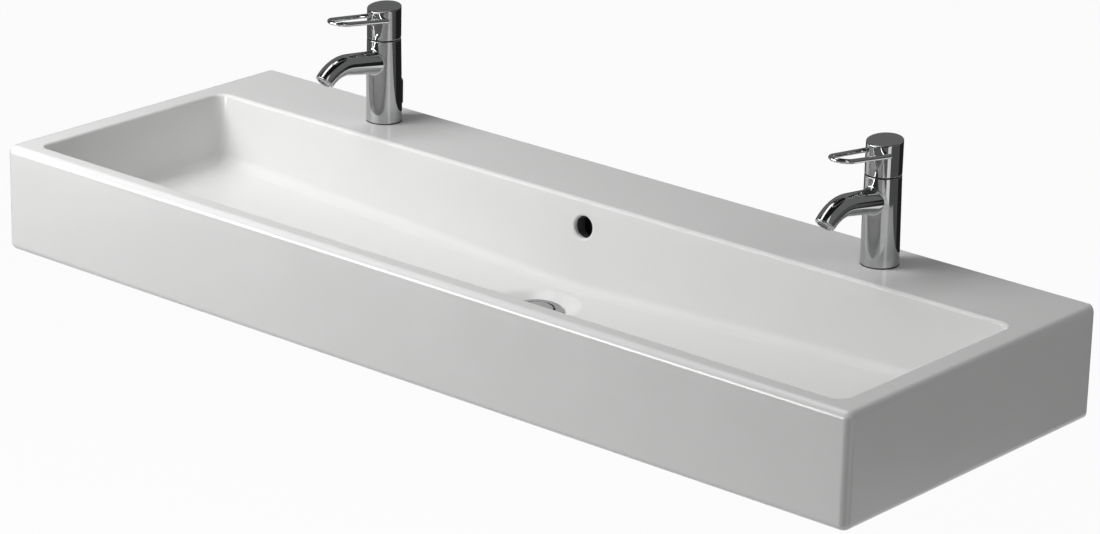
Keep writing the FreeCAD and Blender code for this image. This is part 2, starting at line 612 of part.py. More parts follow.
def make_aerator(side, origin):
    """Make the aerator: a threaded ring in the spout's end and the screen inside it."""
    tilt = (Vector(1, 0, 0), "spout_dip_angle - 90")

    def inward(name, radius, height, start):
        back = f"({start})*cos(spout_dip_angle)"
        lift = f"({start})*sin(spout_dip_angle)"
        at = ("0", f"-(spout_reach - {back})", f"{OUTLET_HEIGHT} + {lift}")
        return lying_cylinder(name, radius, height, at, *tilt)

    shell = inward(f"{side}_aerator_shell", "aerator_radius", "aerator_length + aerator_lip", "-aerator_lip")
    hole = inward(f"{side}_aerator_hole", "aerator_radius - aerator_wall", "aerator_length + aerator_lip",
                  "-aerator_lip")
    node(cut(f"{side}_aerator_cut", shell, hole), f"{side}_aerator_ring", origin)
    body = new_body(f"{side}_screen_body")
    face = sketch_on(body, f"{side}_screen_face", "XY_Plane", "screen_inset")
    add_circle(face, "rim", "aerator_radius - aerator_wall - seat_clearance")
    add_circle(face, "centre", "screen_hole")
    extrude(body, "Pad", face, "screen_thickness")
    hole = sketch_on(body, f"{side}_screen_hole", "XY_Plane", "screen_inset")
    add_circle(hole, "hole", "screen_hole", x="screen_circle")
    doc.recompute()
    pocket = extrude(body, "Pocket", hole, "screen_thickness", reverse=True)
    pattern = body.newObject("PartDesign::PolarPattern", f"{side}_screen_holes")
    pattern.Originals = [pocket]
    pattern.Axis = (hole, ["N_Axis"])
    pattern.Occurrences = 8
    pattern.Angle = 360
    body.Tip = pattern
    turn(body, *tilt)
    node(body, f"{side}_aerator_screen", moved(origin, *OUTLET))


def make_clamp(side, origin):
    """Make what holds the tap to the deck: base seal, stud, horseshoe washer and plate, and nut."""
    seal = cut(
        f"{side}_seal",
        cylinder(f"{side}_seal_disc", "column_base_radius - run_clearance", "base_seal_height",
                 ("0", "column_lean", "0")),
        cylinder(f"{side}_seal_hole", "tap_hole_radius", "base_seal_height"))
    node(seal, f"{side}_base_seal", origin)
    deck = "-deck_thickness"
    plate_top = f"({deck} - washer_thickness)"
    nut_top = f"({plate_top} - plate_thickness)"
    stud_low = f"({nut_top} - clamp_nut_height - stud_tail)"
    front = ("0", "-stud_front")
    stud = cylinder(f"{side}_stud", "stud_radius", f"base_seal_height + stud_grip - {stud_low}",
                    moved(origin, *front, stud_low))
    node(stud, f"{side}_mounting_stud")

    def horseshoe(name, label, thickness, low):
        disc = cylinder(f"{name}_disc", "washer_radius", thickness, ("0", "0", low))
        hole = cylinder(f"{name}_hole", "stud_radius + seat_clearance", thickness, (*front, low))
        slot = box(f"{name}_slot", "slot_gap", "2*washer_radius", thickness,
                   ("0", "washer_radius - slot_front", low))
        node(cut(name, disc, hole, slot), label, origin)

    horseshoe(f"{side}_washer", f"{side}_clamp_washer", "washer_thickness", plate_top)
    horseshoe(f"{side}_plate", f"{side}_clamp_plate", "plate_thickness", nut_top)
    low = f"{nut_top} - clamp_nut_height"
    nut = cut(
        f"{side}_nut", prism(f"{side}_nut_hexagon", "clamp_nut_flats", "clamp_nut_height", (*front, low)),
        cylinder(f"{side}_nut_hole", "stud_radius + seat_clearance", "clamp_nut_height", (*front, low)))
    node(nut, f"{side}_clamp_nut", origin)


# Levels inside the cartridge, from the deck upwards
CUP_LOW = f"({CARTRIDGE_FLOOR} + cup_base)"
DISC_TOP = f"({CUP_LOW} + disc_thickness)"
MOVING_LOW = f"({DISC_TOP} + run_clearance)"
CARRIER_LOW = f"({MOVING_LOW} + disc_thickness)"
ROTOR_LOW = f"({CARRIER_LOW} + carrier_plate + rotor_gap)"
ROOF = f"({DOME_TOP} - dome_roof)"
TIP_HEIGHT = f"({PIVOT_HEIGHT} - lever_arm)"
PIVOT = ("0", "pivot_offset", PIVOT_HEIGHT)
# Radii inside the cartridge that leave room for the lever's tilt
MOVING_RADIUS = "(cup_bore - lever_arm*tan(tilt_angle) - slide_clearance)"
NECK_RADIUS = "(hypot(spindle_width/2; pivot_offset + spindle_depth/2) + slide_clearance)"


def make_cartridge(side, origin):
    """Make the cartridge: base, cup, ring nut, ceramic discs, carrier, turning rotor and its pivot pin."""
    base = cylinder(f"{side}_base_disc", "cup_radius", "cup_base", ("0", "0", CARTRIDGE_FLOOR))
    ports = [
        cylinder(f"{side}_port_{index}", "inlet_passage", "cup_base", (x, y, CARTRIDGE_FLOOR))
        for index, (x, y) in enumerate((
            ("-inlet_spacing/2", "inlet_offset"), ("inlet_spacing/2", "inlet_offset"),
            ("0", "-inlet_spacing/2")))]
    node(cut(f"{side}_base_cut", base, *ports), f"{side}_cartridge_base", origin)

    cup = cut(
        f"{side}_cup",
        fuse(
            f"{side}_cup_outside",
            cylinder(f"{side}_cup_wall", "cup_radius", f"{SHOULDER_LOW} - {CUP_LOW}", ("0", "0", CUP_LOW)),
            cylinder(f"{side}_cup_collar", "cartridge_bore - seat_clearance",
                     "shoulder_height", ("0", "0", SHOULDER_LOW)),
            cylinder(f"{side}_cup_dome", "dome_radius", f"{DOME_TOP} - {SHOULDER_TOP}",
                     ("0", "0", SHOULDER_TOP))),
        cylinder(f"{side}_cup_bore", "cup_bore", f"{ROOF} - {CUP_LOW}", ("0", "0", CUP_LOW)),
        cylinder(f"{side}_neck_hole", f"{NECK_RADIUS} + run_clearance", DOME_TOP, ("0", "0", CUP_LOW)))
    node(cup, f"{side}_cartridge_cup", origin)

    nut_height = "ring_nut_height"
    nut = cut(
        f"{side}_ring", cylinder(f"{side}_ring_disc", "cartridge_bore - seat_clearance", nut_height,
                                 ("0", "0", SHOULDER_TOP)),
        cylinder(f"{side}_ring_hole", "dome_radius + seat_clearance", nut_height,
                 ("0", "0", SHOULDER_TOP)))
    node(nut, f"{side}_cartridge_nut", origin)

    fixed = cut(
        f"{side}_fixed", cylinder(f"{side}_fixed_slab", "cup_bore - seat_clearance", "disc_thickness",
                                  ("0", "0", CUP_LOW)),
        *[cylinder(f"{side}_fixed_port_{index}", "inlet_passage", "disc_thickness", (x, y, CUP_LOW))
          for index, (x, y) in enumerate((
              ("-port_spacing/2", "inlet_offset"), ("port_spacing/2", "inlet_offset"),
              ("0", "-port_spacing/2")))])
    node(fixed, f"{side}_fixed_disc", origin)
    moving = cylinder(f"{side}_moving", MOVING_RADIUS, "disc_thickness", moved(origin, z=MOVING_LOW))
    node(moving, f"{side}_moving_disc")

    post_top = f"({TIP_HEIGHT} + tip_radius)"
    post_depth = "2*(tip_radius + run_clearance + post_wall)"
    carrier = cut(
        f"{side}_carrier",
        fuse(
            f"{side}_carrier_whole",
            cylinder(f"{side}_carrier_disc", MOVING_RADIUS, "carrier_plate", ("0", "0", CARRIER_LOW)),
            box(f"{side}_carrier_post", "post_width", post_depth, f"{post_top} - {CARRIER_LOW}",
                ("0", "pivot_offset", CARRIER_LOW))),
        box(f"{side}_carrier_slot", "2*post_width", "2*(tip_radius + run_clearance)", "4*tip_radius",
            ("0", "pivot_offset", f"{TIP_HEIGHT} - tip_radius - slide_clearance")))
    node(carrier, f"{side}_disc_carrier", origin)

    rotor = cut(
        f"{side}_rotor_cut",
        fuse(
            f"{side}_rotor_whole",
            cylinder(f"{side}_rotor_drum", "cup_bore - run_clearance",
                     f"{ROOF} - slide_clearance - {ROTOR_LOW}", ("0", "0", ROTOR_LOW)),
            cylinder(f"{side}_rotor_neck", NECK_RADIUS, f"{NECK_TOP} - {ROTOR_LOW}", ("0", "0", ROTOR_LOW))),
        box(f"{side}_rotor_slot", "rotor_slot", "4*cup_bore", NECK_TOP,
            ("0", "2*cup_bore - rotor_web", ROTOR_LOW)),
        lying_cylinder(f"{side}_pin_hole", "pin_radius + seat_clearance", "4*cup_bore",
                       ("-2*cup_bore", *PIVOT[1:]), Vector(0, 1, 0), "90"))
    node(rotor, f"{side}_rotor", origin)
    pin = lying_cylinder(f"{side}_pin", "pin_radius", "pin_length",
                         moved(origin, "-pin_length/2", *PIVOT[1:]), Vector(0, 1, 0), "90")
    node(pin, f"{side}_pivot_pin")


def loop_path():
    """Return the lever loop's centre line: two arms that close in to a round tip, tilted up to the front."""
    half, tip = size("loop_half_width"), size("loop_tip_radius")
    root = math.sqrt((size("cap_radius") - size("cap_wall") / 3) ** 2 - half ** 2)
    centre = size("loop_reach") - size("loop_wire") - tip
    span = centre - root
    taper = math.acos(tip / math.hypot(half, span)) - math.atan2(span, half)
    touch_x, touch_y = tip * math.cos(taper), -centre - tip * math.sin(taper)
    corner = [Vector(half, -root), Vector(touch_x, touch_y), Vector(0, -centre - tip)]
    mirrored = [Vector(-point.x, point.y) for point in corner]
    wire = Part.Wire([
        Part.LineSegment(corner[0], corner[1]).toShape(),
        Part.Arc(corner[1], corner[2], mirrored[1]).toShape(),
        Part.LineSegment(mirrored[1], mirrored[0]).toShape(),
    ])
    wire.rotate(Vector(0, -root, 0), Vector(1, 0, 0), -size("loop_angle"))
    wire.translate(Vector(0, 0, size("column_height") + size("cap_gap") + size("loop_lift")))
    return wire


def make_handle(side, origin):
    """Make the lever: spindle, hollow cap with its loop, grub screw and screw cover."""
    bar_low = f"({TIP_HEIGHT} + 2*tip_radius)"
    tongue_half = "(tip_radius*(1 - tan(tilt_angle)) + run_clearance - slide_clearance)*cos(tilt_angle)"
    spindle = cut(
        f"{side}_spindle_cut",
        fuse(
            f"{side}_spindle_whole",
            box(f"{side}_spindle_bar", "spindle_width", "spindle_depth", f"{SPINDLE_TOP} - {bar_low}",
                ("0", "pivot_offset", bar_low)),
            box(f"{side}_spindle_tongue", "spindle_width", f"2*{tongue_half}", f"{bar_low} - {TIP_HEIGHT}",
                ("0", "pivot_offset", TIP_HEIGHT)),
            lying_cylinder(f"{side}_spindle_tip", "tip_radius", "spindle_width",
                           ("-spindle_width/2", "pivot_offset", TIP_HEIGHT), Vector(0, 1, 0), "90")),
        lying_cylinder(f"{side}_spindle_hole", "pin_radius + run_clearance", "4*spindle_width",
                       ("-2*spindle_width", *PIVOT[1:]), Vector(0, 1, 0), "90"))
    node(spindle, f"{side}_spindle", origin)

    block_size = "4*cap_radius"

    def cutter(name, angle, y, z):
        block = doc.addObject("Part::Box", name)
        bind(block, Length=block_size, Width=block_size, Height=block_size)
        turn(block, Vector(1, 0, 0), angle)
        place(block, ("-2*cap_radius", y, z))
        return block

    top_cutter = cutter(
        f"{side}_top_cutter", "cap_angle", "-2*cap_radius*cos(cap_angle)",
        f"{CAP_TOP} - 2*cap_radius*sin(cap_angle)")
    relief = cutter(
        f"{side}_relief_cutter", "relief_angle", f"relief_start + {block_size}*sin(relief_angle)",
        f"{CAP_LOW} - {block_size}*cos(relief_angle)")
    socket_depth = "spindle_depth/2 + socket_wall"
    boss_back = "(cap_radius - cap_wall/2)"
    cover_start = "(cap_radius - cap_edge/2 - cover_depth)"
    shell = cut(
        f"{side}_cap_shell",
        cylinder(f"{side}_cap_outside", "cap_radius", "cap_height + cap_radius*tan(cap_angle)",
                 ("0", "0", CAP_LOW)),
        cylinder(f"{side}_cap_hollow", "cap_radius - cap_wall", f"{CAP_UNDER} - {CAP_LOW}",
                 ("0", "0", CAP_LOW)),
        top_cutter, relief)
    boss_length = f"({boss_back} - pivot_offset + {socket_depth})"
    boss = box(
        f"{side}_cap_boss", "spindle_width + 2*socket_wall", boss_length,
        f"{CAP_UNDER} - {SOCKET_LOW} + cap_roof/2",
        ("0", f"({boss_back} + pivot_offset - ({socket_depth}))/2", SOCKET_LOW))
    loop = coded(f"{side}_loop", swept_tube(loop_path(), size("loop_wire"), size("loop_wire")))
    handle = cut(
        f"{side}_handle_cut", fuse(f"{side}_handle_whole", shell, boss, loop),
        box(f"{side}_socket", "spindle_width + 2*seat_clearance", "spindle_depth + 2*seat_clearance",
            f"{SPINDLE_TOP} + seat_clearance - {SOCKET_LOW}", ("0", "pivot_offset", SOCKET_LOW)),
        lying_cylinder(f"{side}_grub_hole", "grub_radius + seat_clearance", "2*cap_radius",
                       ("0", "pivot_offset", GRUB_HEIGHT), Vector(1, 0, 0), "-90"),
        lying_cylinder(f"{side}_cover_hole", "cover_radius + seat_clearance", "cap_radius",
                       ("0", f"{cover_start} - seat_clearance", GRUB_HEIGHT),
                       Vector(1, 0, 0), "-90"))
    node(handle, f"{side}_handle", origin)

    grub_start = "(pivot_offset + spindle_depth/2 + seat_clearance)"
    grub_length = f"({cover_start} - seat_clearance - grub_gap - {grub_start})"
    grub = cut(
        f"{side}_grub", lying_cylinder(f"{side}_grub_rod", "grub_radius", grub_length,
                                       ("0", grub_start, GRUB_HEIGHT), Vector(1, 0, 0), "-90"),
        lying_cylinder(f"{side}_grub_socket", "grub_key", "grub_key_depth",
                       ("0", f"{grub_start} + {grub_length} - grub_key_depth", GRUB_HEIGHT),
                       Vector(1, 0, 0), "-90"))
    node(grub, f"{side}_handle_screw", origin)
    cover = lying_cylinder(f"{side}_cover", "cover_radius", "cover_depth",
                           moved(origin, "0", cover_start, GRUB_HEIGHT),
                           Vector(1, 0, 0), "-90")
    node(cover, f"{side}_screw_cover")


def make_lift(side, origin):
    """Make the lift rod and its knob, which ride in the groove behind the column."""
    rod = cylinder(f"{side}_rod", "rod_radius", "rod_tail + knob_low + knob_bore_depth - seat_clearance",
                   moved(origin, "0", "rod_offset", "-rod_tail"))
    node(rod, f"{side}_lift_rod")
    crown_low = "(knob_low + knob_height - knob_crown)"
    knob = cut(
        f"{side}_knob",
        fuse(
            f"{side}_knob_whole",
            cylinder(f"{side}_knob_barrel", "knob_radius", f"{crown_low} - knob_low",
                     ("0", "knob_offset", "knob_low")),
            cone(f"{side}_knob_top", "knob_radius", "knob_radius - knob_taper", "knob_crown",
                 ("0", "knob_offset", crown_low))),
        cylinder(f"{side}_knob_bore", "rod_radius + seat_clearance", "knob_bore_depth",
                 ("0", "rod_offset", "knob_low")))
    node(knob, f"{side}_lift_knob", origin)


def write_parts():
    """Check every object, then write one file for each piece."""
    doc.recompute()
    for item in doc.Objects:
        faults = [state for state in item.State if state in ("Invalid", "Error")]
        if faults:
            raise RuntimeError(f"{item.Name} is {faults}")
    for item in nodes:
        if item.Shape.isNull() or not item.Shape.isValid():
            raise RuntimeError(f"{item.Label} has no valid shape")
        if len(item.Shape.Solids) != 1:
            raise RuntimeError(f"{item.Label} has {len(item.Shape.Solids)} solids")
    os.makedirs("parts", exist_ok=True)
    for item in nodes:
        item.Shape.exportStep(f"parts/{item.Label}.step")


make_basin()
make_waste()
for tap_side, tap_x in (("left", "-tap_spacing/2"), ("right", "tap_spacing/2")):
    deck = (tap_x, "-tap_inset", "rim_height")
    make_tap_body(tap_side, deck)
    make_aerator(tap_side, deck)
    make_clamp(tap_side, deck)
    make_cartridge(tap_side, deck)
    make_handle(tap_side, deck)
    make_lift(tap_side, deck)
write_parts()
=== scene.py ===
import json
import math

import bmesh
import bpy
from bpy.props import FloatProperty, FloatVectorProperty, IntProperty, PointerProperty
from mathutils import Matrix, Vector


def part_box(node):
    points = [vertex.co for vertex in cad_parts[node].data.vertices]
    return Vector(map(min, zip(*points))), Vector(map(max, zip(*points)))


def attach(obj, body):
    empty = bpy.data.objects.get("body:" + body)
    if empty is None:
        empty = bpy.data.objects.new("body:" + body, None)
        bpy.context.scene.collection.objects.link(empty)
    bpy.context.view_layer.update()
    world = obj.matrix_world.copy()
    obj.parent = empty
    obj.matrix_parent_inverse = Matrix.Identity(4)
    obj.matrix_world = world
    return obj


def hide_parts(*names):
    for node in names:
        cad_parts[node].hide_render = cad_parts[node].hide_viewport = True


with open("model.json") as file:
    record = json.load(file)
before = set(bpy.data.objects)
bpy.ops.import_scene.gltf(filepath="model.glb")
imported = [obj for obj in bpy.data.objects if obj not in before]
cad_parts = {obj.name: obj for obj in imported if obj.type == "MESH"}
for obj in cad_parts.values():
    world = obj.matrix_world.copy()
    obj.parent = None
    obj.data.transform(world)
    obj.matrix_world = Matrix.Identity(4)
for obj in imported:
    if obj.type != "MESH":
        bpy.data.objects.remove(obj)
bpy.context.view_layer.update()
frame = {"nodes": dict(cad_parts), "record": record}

bl_info = {
    "name": "Washbasin with two taps",
    "version": (1, 0, 0),
    "blender": (4, 5, 0),
    "location": "3D View > Sidebar > Washbasin",
    "description": "Builds the looks of a wall-hung ceramic washbasin, its taps and its waste",
    "category": "Object",
}

BASIN_LOW, BASIN_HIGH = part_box("basin")
FLANGE_LOW, FLANGE_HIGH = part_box("waste_flange")
PLUG_LOW, PLUG_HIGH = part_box("waste_plug")
TAIL_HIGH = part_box("waste_tail")[1]
SLOT_OF = {part["node"]: part["material_slot"] for part in frame["record"]["subparts"]}
FINISHES = {}
SIDES = ("left", "right")
MM = 0.001
SEGMENTS = 96
QUARTER_TURN = math.pi / 2
WHITE = (1, 1, 1, 1)


# Settings that a user would change
def length(name, description, millimetres):
    """A length that is given in millimetres."""
    return FloatProperty(
        name=name, description=description, default=millimetres * MM, precision=4,
        unit="LENGTH", subtype="DISTANCE")


def angle(name, description, degrees):
    """An angle that is given in degrees."""
    return FloatProperty(
        name=name, description=description, default=math.radians(degrees), unit="ROTATION", subtype="ANGLE")


def colour(name, description, value):
    return FloatVectorProperty(
        name=name, description=description, default=value, size=3, min=0.0, max=1.0, subtype="COLOR")


def count(name, description, value):
    return IntProperty(name=name, description=description, default=value)


class BasinSizes(bpy.types.PropertyGroup):
    """Sizes of the ceramic basin."""
    corner: length("Corner radius", "Radius of the four upright corners", 9.5)
    top_round: length("Top rounding", "Radius along the outer top edge", 8.5)
    base_round: length("Base rounding", "Radius along the outer base edge", 8)
    base_drop: length("Height", "Height of the apron from rim to base", 125)
    side_rim: length("Side rim", "Width of the rim at both ends", 30)
    front_rim: length("Front rim", "Width of the rim at the front", 24)
    back_ledge: length("Back ledge", "Depth of the ledge that carries the taps", 111)
    bowl_corner: length("Bowl corner", "Radius of the bowl's upright corners", 15)
    bowl_depth: length("Bowl depth", "Depth of the bowl at its ends", 80)
    floor_fall: length("Floor fall", "How far the floor falls from the ends to the middle", 23)
    valley: length("Valley softness", "How softly the two slopes of the floor meet", 25)
    wall_lean: angle("Wall lean", "Lean of the bowl's walls", 8)
    mouth_round: length("Mouth rounding", "Radius where the rim turns into the bowl", 4)
    foot_round: length("Foot rounding", "Radius where the walls meet the floor", 14)
    wall: length("Wall", "Thickness of the apron and of the bowl's shell", 13)
    deck: length("Deck", "Thickness of the ledge", 16)
    drain_reach: length("Drain reach", "Distance of the waste from the wall", 192)
    overflow_radius: length("Overflow radius", "Radius of the overflow hole", 12.5)
    overflow_drop: length("Overflow drop", "Depth of the overflow's centre below the rim", 31)
    overflow_flare: length("Overflow flare", "Rounding of the overflow hole's lip", 3)


class TapSizes(bpy.types.PropertyGroup):
    """Sizes of a tap, from the deck upwards."""
    seal: length("Base seal", "Thickness of the seal under the column", 1.2)
    base_radius: length("Base radius", "Radius of the column at the deck", 21.2)
    top_radius: length("Top radius", "Radius of the column at its top", 20)
    column_height: length("Column height", "Top of the column above the deck", 100)
    column_lean: length("Column lean", "Offset of the column's foot to the back", 1.2)
    bore: length("Bore", "Radius of the hole for the cartridge", 15.5)
    bore_depth: length("Bore depth", "Depth of the hole for the cartridge", 30)
    edge: length("Edge", "Rounding of the column's edges", 0.6)
    root_height: length("Spout height", "Height of the spout's root", 73)
    root_reach: length("Spout root", "Start of the spout's centre line", 10)
    rise: angle("Spout rise", "Angle of the spout where it leaves the column", 8.2)
    dip: angle("Spout dip", "Angle of the spout at its outlet", 45)
    bend: length("Spout bend", "Radius of the spout's bend", 46)
    reach: length("Spout reach", "Distance of the outlet from the column's axis", 100)
    root_radius: length("Spout radius", "Radius of the spout at the column", 13.8)
    end_radius: length("Outlet radius", "Radius of the spout at its outlet", 11.2)
    root_fillet: length("Root fillet", "Rounding between the spout and the column", 2.4)
    socket: length("Outlet socket", "Radius of the aerator's seat", 9.45)
    socket_depth: length("Socket depth", "Depth of the aerator's seat", 9)
    groove_radius: length("Groove radius", "Radius of the groove behind the column", 10)
    groove_back: length("Groove centre", "Offset of the groove's axis to the back", 19.5)
    groove_low: length("Groove floor", "Height of the groove's floor", 17)
    groove_high: length("Groove top", "Height of the groove's top", 60.4)


class LeverSizes(bpy.types.PropertyGroup):
    """Sizes of a tap's lever and lift knob, from the deck upwards."""
    cap_radius: length("Cap radius", "Radius of the lever's cap", 20)
    cap_wall: length("Cap wall", "Wall of the lever's cap", 3)
    cap_low: length("Cap base", "Height of the cap's lower edge", 101.5)
    cap_top: length("Cap top", "Height of the cap's top on its axis", 138)
    cap_roof: length("Cap roof", "Thickness of the cap's top at its front", 4)
    cap_slope: angle("Cap slope", "Fall of the cap's top to the front", 6.5)
    cap_edge: length("Cap edge", "Rounding of the cap's top edge", 1.2)
    relief_start: length("Relief start", "Where the cap's lower edge starts to rise to the back", 8)
    relief: angle("Relief", "Rise of the cap's lower edge at the back", 12.5)
    wire: length("Loop wire", "Radius of the loop's wire", 2.7)
    half_width: length("Loop half width", "Half the width of the loop at the cap", 15.5)
    tip_radius: length("Loop tip", "Radius of the loop's tip", 13)
    reach: length("Loop reach", "Distance of the loop's tip from the cap's axis", 89)
    loop_height: length("Loop height", "Height of the loop at the cap", 125.5)
    loop_rise: angle("Loop rise", "Rise of the loop to the front", 7.5)
    cover_radius: length("Cover recess", "Radius of the recess for the screw cover", 3.95)
    cover_depth: length("Cover recess floor", "Distance of the recess's floor from the cap's axis", 17.05)
    knob_radius: length("Knob radius", "Radius of the lift knob", 9.5)
    knob_low: length("Knob base", "Height of the lift knob's base", 17.4)
    knob_height: length("Knob height", "Height of the lift knob", 30)
    knob_crown: length("Knob crown", "Height of the lift knob's rounded top", 4)
    knob_taper: length("Knob taper", "How far the knob's top draws in", 3.2)


class FixingSizes(bpy.types.PropertyGroup):
    """Sizes of the threads and ribs underneath."""
    stud_radius: length("Stud radius", "Radius of the tap's stud", 4)
    stud_pitch: length("Stud pitch", "Distance between the stud's thread ridges", 1.25)
    stud_ridges: count("Stud ridges", "Thread ridges that show under the nut", 6)
    waste_pitch: length("Waste pitch", "Distance between the waste tube's thread ridges", 1.8)
    waste_ridges: count("Waste ridges", "Thread ridges between nut and tail", 5)
    ridge: length("Ridge", "Radius of a thread ridge", 0.4)
    rib: length("Grip rib", "Radius of a rib on the tail's collar", 0.9)
    ribs: count("Grip ribs", "Ribs around the tail's collar", 30)


class FinishColours(bpy.types.PropertyGroup):
    """Colours of the finishes."""
    glaze: colour("Glaze", "Colour of the glazed ceramic", (0.81, 0.81, 0.805))
    # A dark colour painted inside the overflow's duct as shade
    painted_overflow_shade: colour("Painted_overflow_shade", "Colour of the bare inside of the overflow", (0.1, 0.098, 0.095))
    chrome: colour("Chrome", "Colour of the chrome plate", (0.57, 0.575, 0.58))
    # The waste's chrome is darker than the chrome plate as painted shade
    waste: colour("Waste", "Colour of the waste's satin chrome", (0.36, 0.365, 0.37))
    brass: colour("Brass", "Colour of the raw brass", (0.62, 0.45, 0.19))
    steel: colour("Steel", "Colour of the zinc-plated steel", (0.52, 0.53, 0.54))
    rubber: colour("Rubber", "Colour of the seals", (0.03, 0.03, 0.032))
    plastic: colour("Plastic", "Colour of the inner plastic", (0.6, 0.61, 0.61))
    disc: colour("Disc ceramic", "Colour of the ground ceramic discs", (0.8, 0.79, 0.76))


class StageSettings(bpy.types.PropertyGroup):
    """Floor, light and camera."""
    floor: length("Floor", "Height of the floor under the wall-fixing holes", -790)
    key: FloatProperty(name="Key light", description="Power of the key light", default=43.0, unit="POWER")
    fill: FloatProperty(name="Fill light", description="Power of the fill light", default=5.0, unit="POWER")
    ambient: FloatProperty(name="Ambient", description="Level of the light from all around", default=0.19)
    lens: FloatProperty(
        name="Lens", description="Focal length of the camera in millimetres", default=132.6,
        subtype="DISTANCE_CAMERA")
    azimuth: angle("Azimuth", "Turn of the camera around the basin", 40.379)
    elevation: angle("Elevation", "Height of the camera above the horizon", 19.528)
    roll: angle("Roll", "Roll of the camera", 1.318)
    place: FloatVectorProperty(
        name="Camera place", description="Where the camera stands", default=(2.7191, -3.3669, 1.4848), size=3,
        precision=4, unit="LENGTH", subtype="TRANSLATION")


class WashbasinSettings(bpy.types.PropertyGroup):
    """All settings of the washbasin."""
    basin: PointerProperty(type=BasinSizes)
    tap: PointerProperty(type=TapSizes)
    lever: PointerProperty(type=LeverSizes)
    fixing: PointerProperty(type=FixingSizes)
    finish: PointerProperty(type=FinishColours)
    stage: PointerProperty(type=StageSettings)


# Building meshes
SAME_POINT = 0.0001 * MM
WELD = 0.005 * MM
OVERSHOOT = 5 * MM


def arc(x, z, radius, start, end, steps):
    """Return points (x, z) along an arc, from one angle to another in degrees."""
    turns = [math.radians(start + (end - start) * step / steps) for step in range(steps + 1)]
    return [(x + radius * math.cos(turn), z + radius * math.sin(turn)) for turn in turns]


def full_turn(segments):
    """Return the angles of a full turn in even steps."""
    return [2 * math.pi * index / segments for index in range(segments)]


def circle(radius, level, segments=SEGMENTS, back=0.0):
    """Return the points of a level circle around the Z axis, or around an axis set back from it."""
    points = []
    for turn in full_turn(segments):
        points.append(Vector((radius * math.cos(turn), back + radius * math.sin(turn), level)))
    return points


def add_skin(bm, loops, start="open", end="open", ring=False):
    """Add a surface through loops of points. Its ends are open, flat or a fan, or it closes to a ring."""
    rows = [[bm.verts.new(point) for point in loop] for loop in loops]
    size = len(rows[0])
    pairs = list(zip(rows, rows[1:]))
    if ring:
        pairs.append((rows[-1], rows[0]))
    for low, high in pairs:
        for index in range(size):
            after = (index + 1) % size
            bm.faces.new((low[index], low[after], high[after], high[index]))
    for row, how in ((rows[0], start), (rows[-1], end)):
        if how == "flat":
            bm.faces.new(row)
        elif how == "fan":
            middle = bm.verts.new(sum((vert.co for vert in row), Vector()) / size)
            for index in range(size):
                bm.faces.new((row[index], row[(index + 1) % size], middle))
    return rows


def skin(loops, start, end):
    """Return a surface through loops of points as a bmesh of its own."""
    bm = bmesh.new()
    add_skin(bm, loops, start, end)
    return bm


def lathe(profile, segments=SEGMENTS, ring=False, centre=Vector()):
    """Return a turned solid from a profile of radius and height, closed at its ends or as a ring."""
    bm = bmesh.new()
    loops = [[point + centre for point in circle(radius, level, segments)] for radius, level in profile]
    ends = "open" if ring else "fan"
    add_skin(bm, loops, ends, ends, ring)
    return bm


def rod(radius, low, high, segments=SEGMENTS, centre=Vector()):
    """Return a plain cylinder between two levels."""
    return lathe([(radius, low), (radius, high)], segments, centre=centre)


def tipped(bm, tip, at):
    """Tip a solid about the X axis and move it to its place."""
    bmesh.ops.transform(bm, matrix=Matrix.Translation(at) @ Matrix.Rotation(tip, 4, "X"), verts=bm.verts)
    return bm


def new_object(name, data):
    """Put an object with its data into the scene."""
    item = bpy.data.objects.new(name, data)
    bpy.context.scene.collection.objects.link(item)
    return item


def solid(name, bm):
    """Turn a bmesh into an object with its faces pointing outwards."""
    bmesh.ops.remove_doubles(bm, verts=bm.verts, dist=SAME_POINT)
    bmesh.ops.recalc_face_normals(bm, faces=bm.faces)
    mesh = bpy.data.meshes.new(name)
    bm.to_mesh(mesh)
    bm.free()
    return new_object(name, mesh)


def applied(item):
    """Replace an object's mesh by the result of its modifiers, and drop the modifiers."""
    bpy.context.view_layer.update()
    graph = bpy.context.evaluated_depsgraph_get()
    before = item.data
    item.data = bpy.data.meshes.new_from_object(item.evaluated_get(graph))
    item.modifiers.clear()
    item.data.name = item.name
    if before.users == 0:
        bpy.data.meshes.remove(before)
    return item


def combine(item, operation, *tools):
    """Join tools to an object, or cut them out of it."""
    for tool in tools:
        cutter = solid("cutter", tool)
        boolean = item.modifiers.new("boolean", "BOOLEAN")
        boolean.operation = operation
        boolean.solver = "EXACT"
        boolean.object = cutter
        applied(item)
        bm = bmesh.new()
        bm.from_mesh(item.data)
        bmesh.ops.remove_doubles(bm, verts=bm.verts, dist=WELD)
        bmesh.ops.dissolve_degenerate(bm, edges=bm.edges, dist=WELD)
        closed = all(edge.is_manifold for edge in bm.edges)
        bm.to_mesh(item.data)
        bm.free()
        if not closed:
            raise RuntimeError(f"{item.name} is not closed after a {operation.lower()}")
        mesh = cutter.data
        bpy.data.objects.remove(cutter)
        bpy.data.meshes.remove(mesh)


def add_limb(item, loops, start, end, at):
    """Add a further skin to an object, and move the whole to its place."""
    bm = bmesh.new()
    bm.from_mesh(item.data)
    add_skin(bm, loops, start, end)
    bmesh.ops.recalc_face_normals(bm, faces=bm.faces)
    bmesh.ops.translate(bm, vec=at, verts=bm.verts)
    bm.to_mesh(item.data)
    bm.free()


def smooth(item, sharp=40):
    """Shade smooth with flat faces kept flat and edges above an angle kept sharp."""
    item.data.shade_smooth()
    item.data.set_sharp_from_angle(angle=math.radians(sharp))
    weighted = item.modifiers.new("weighted", "WEIGHTED_NORMAL")
    weighted.keep_sharp = True
    weighted.weight = 80
    return applied(item)


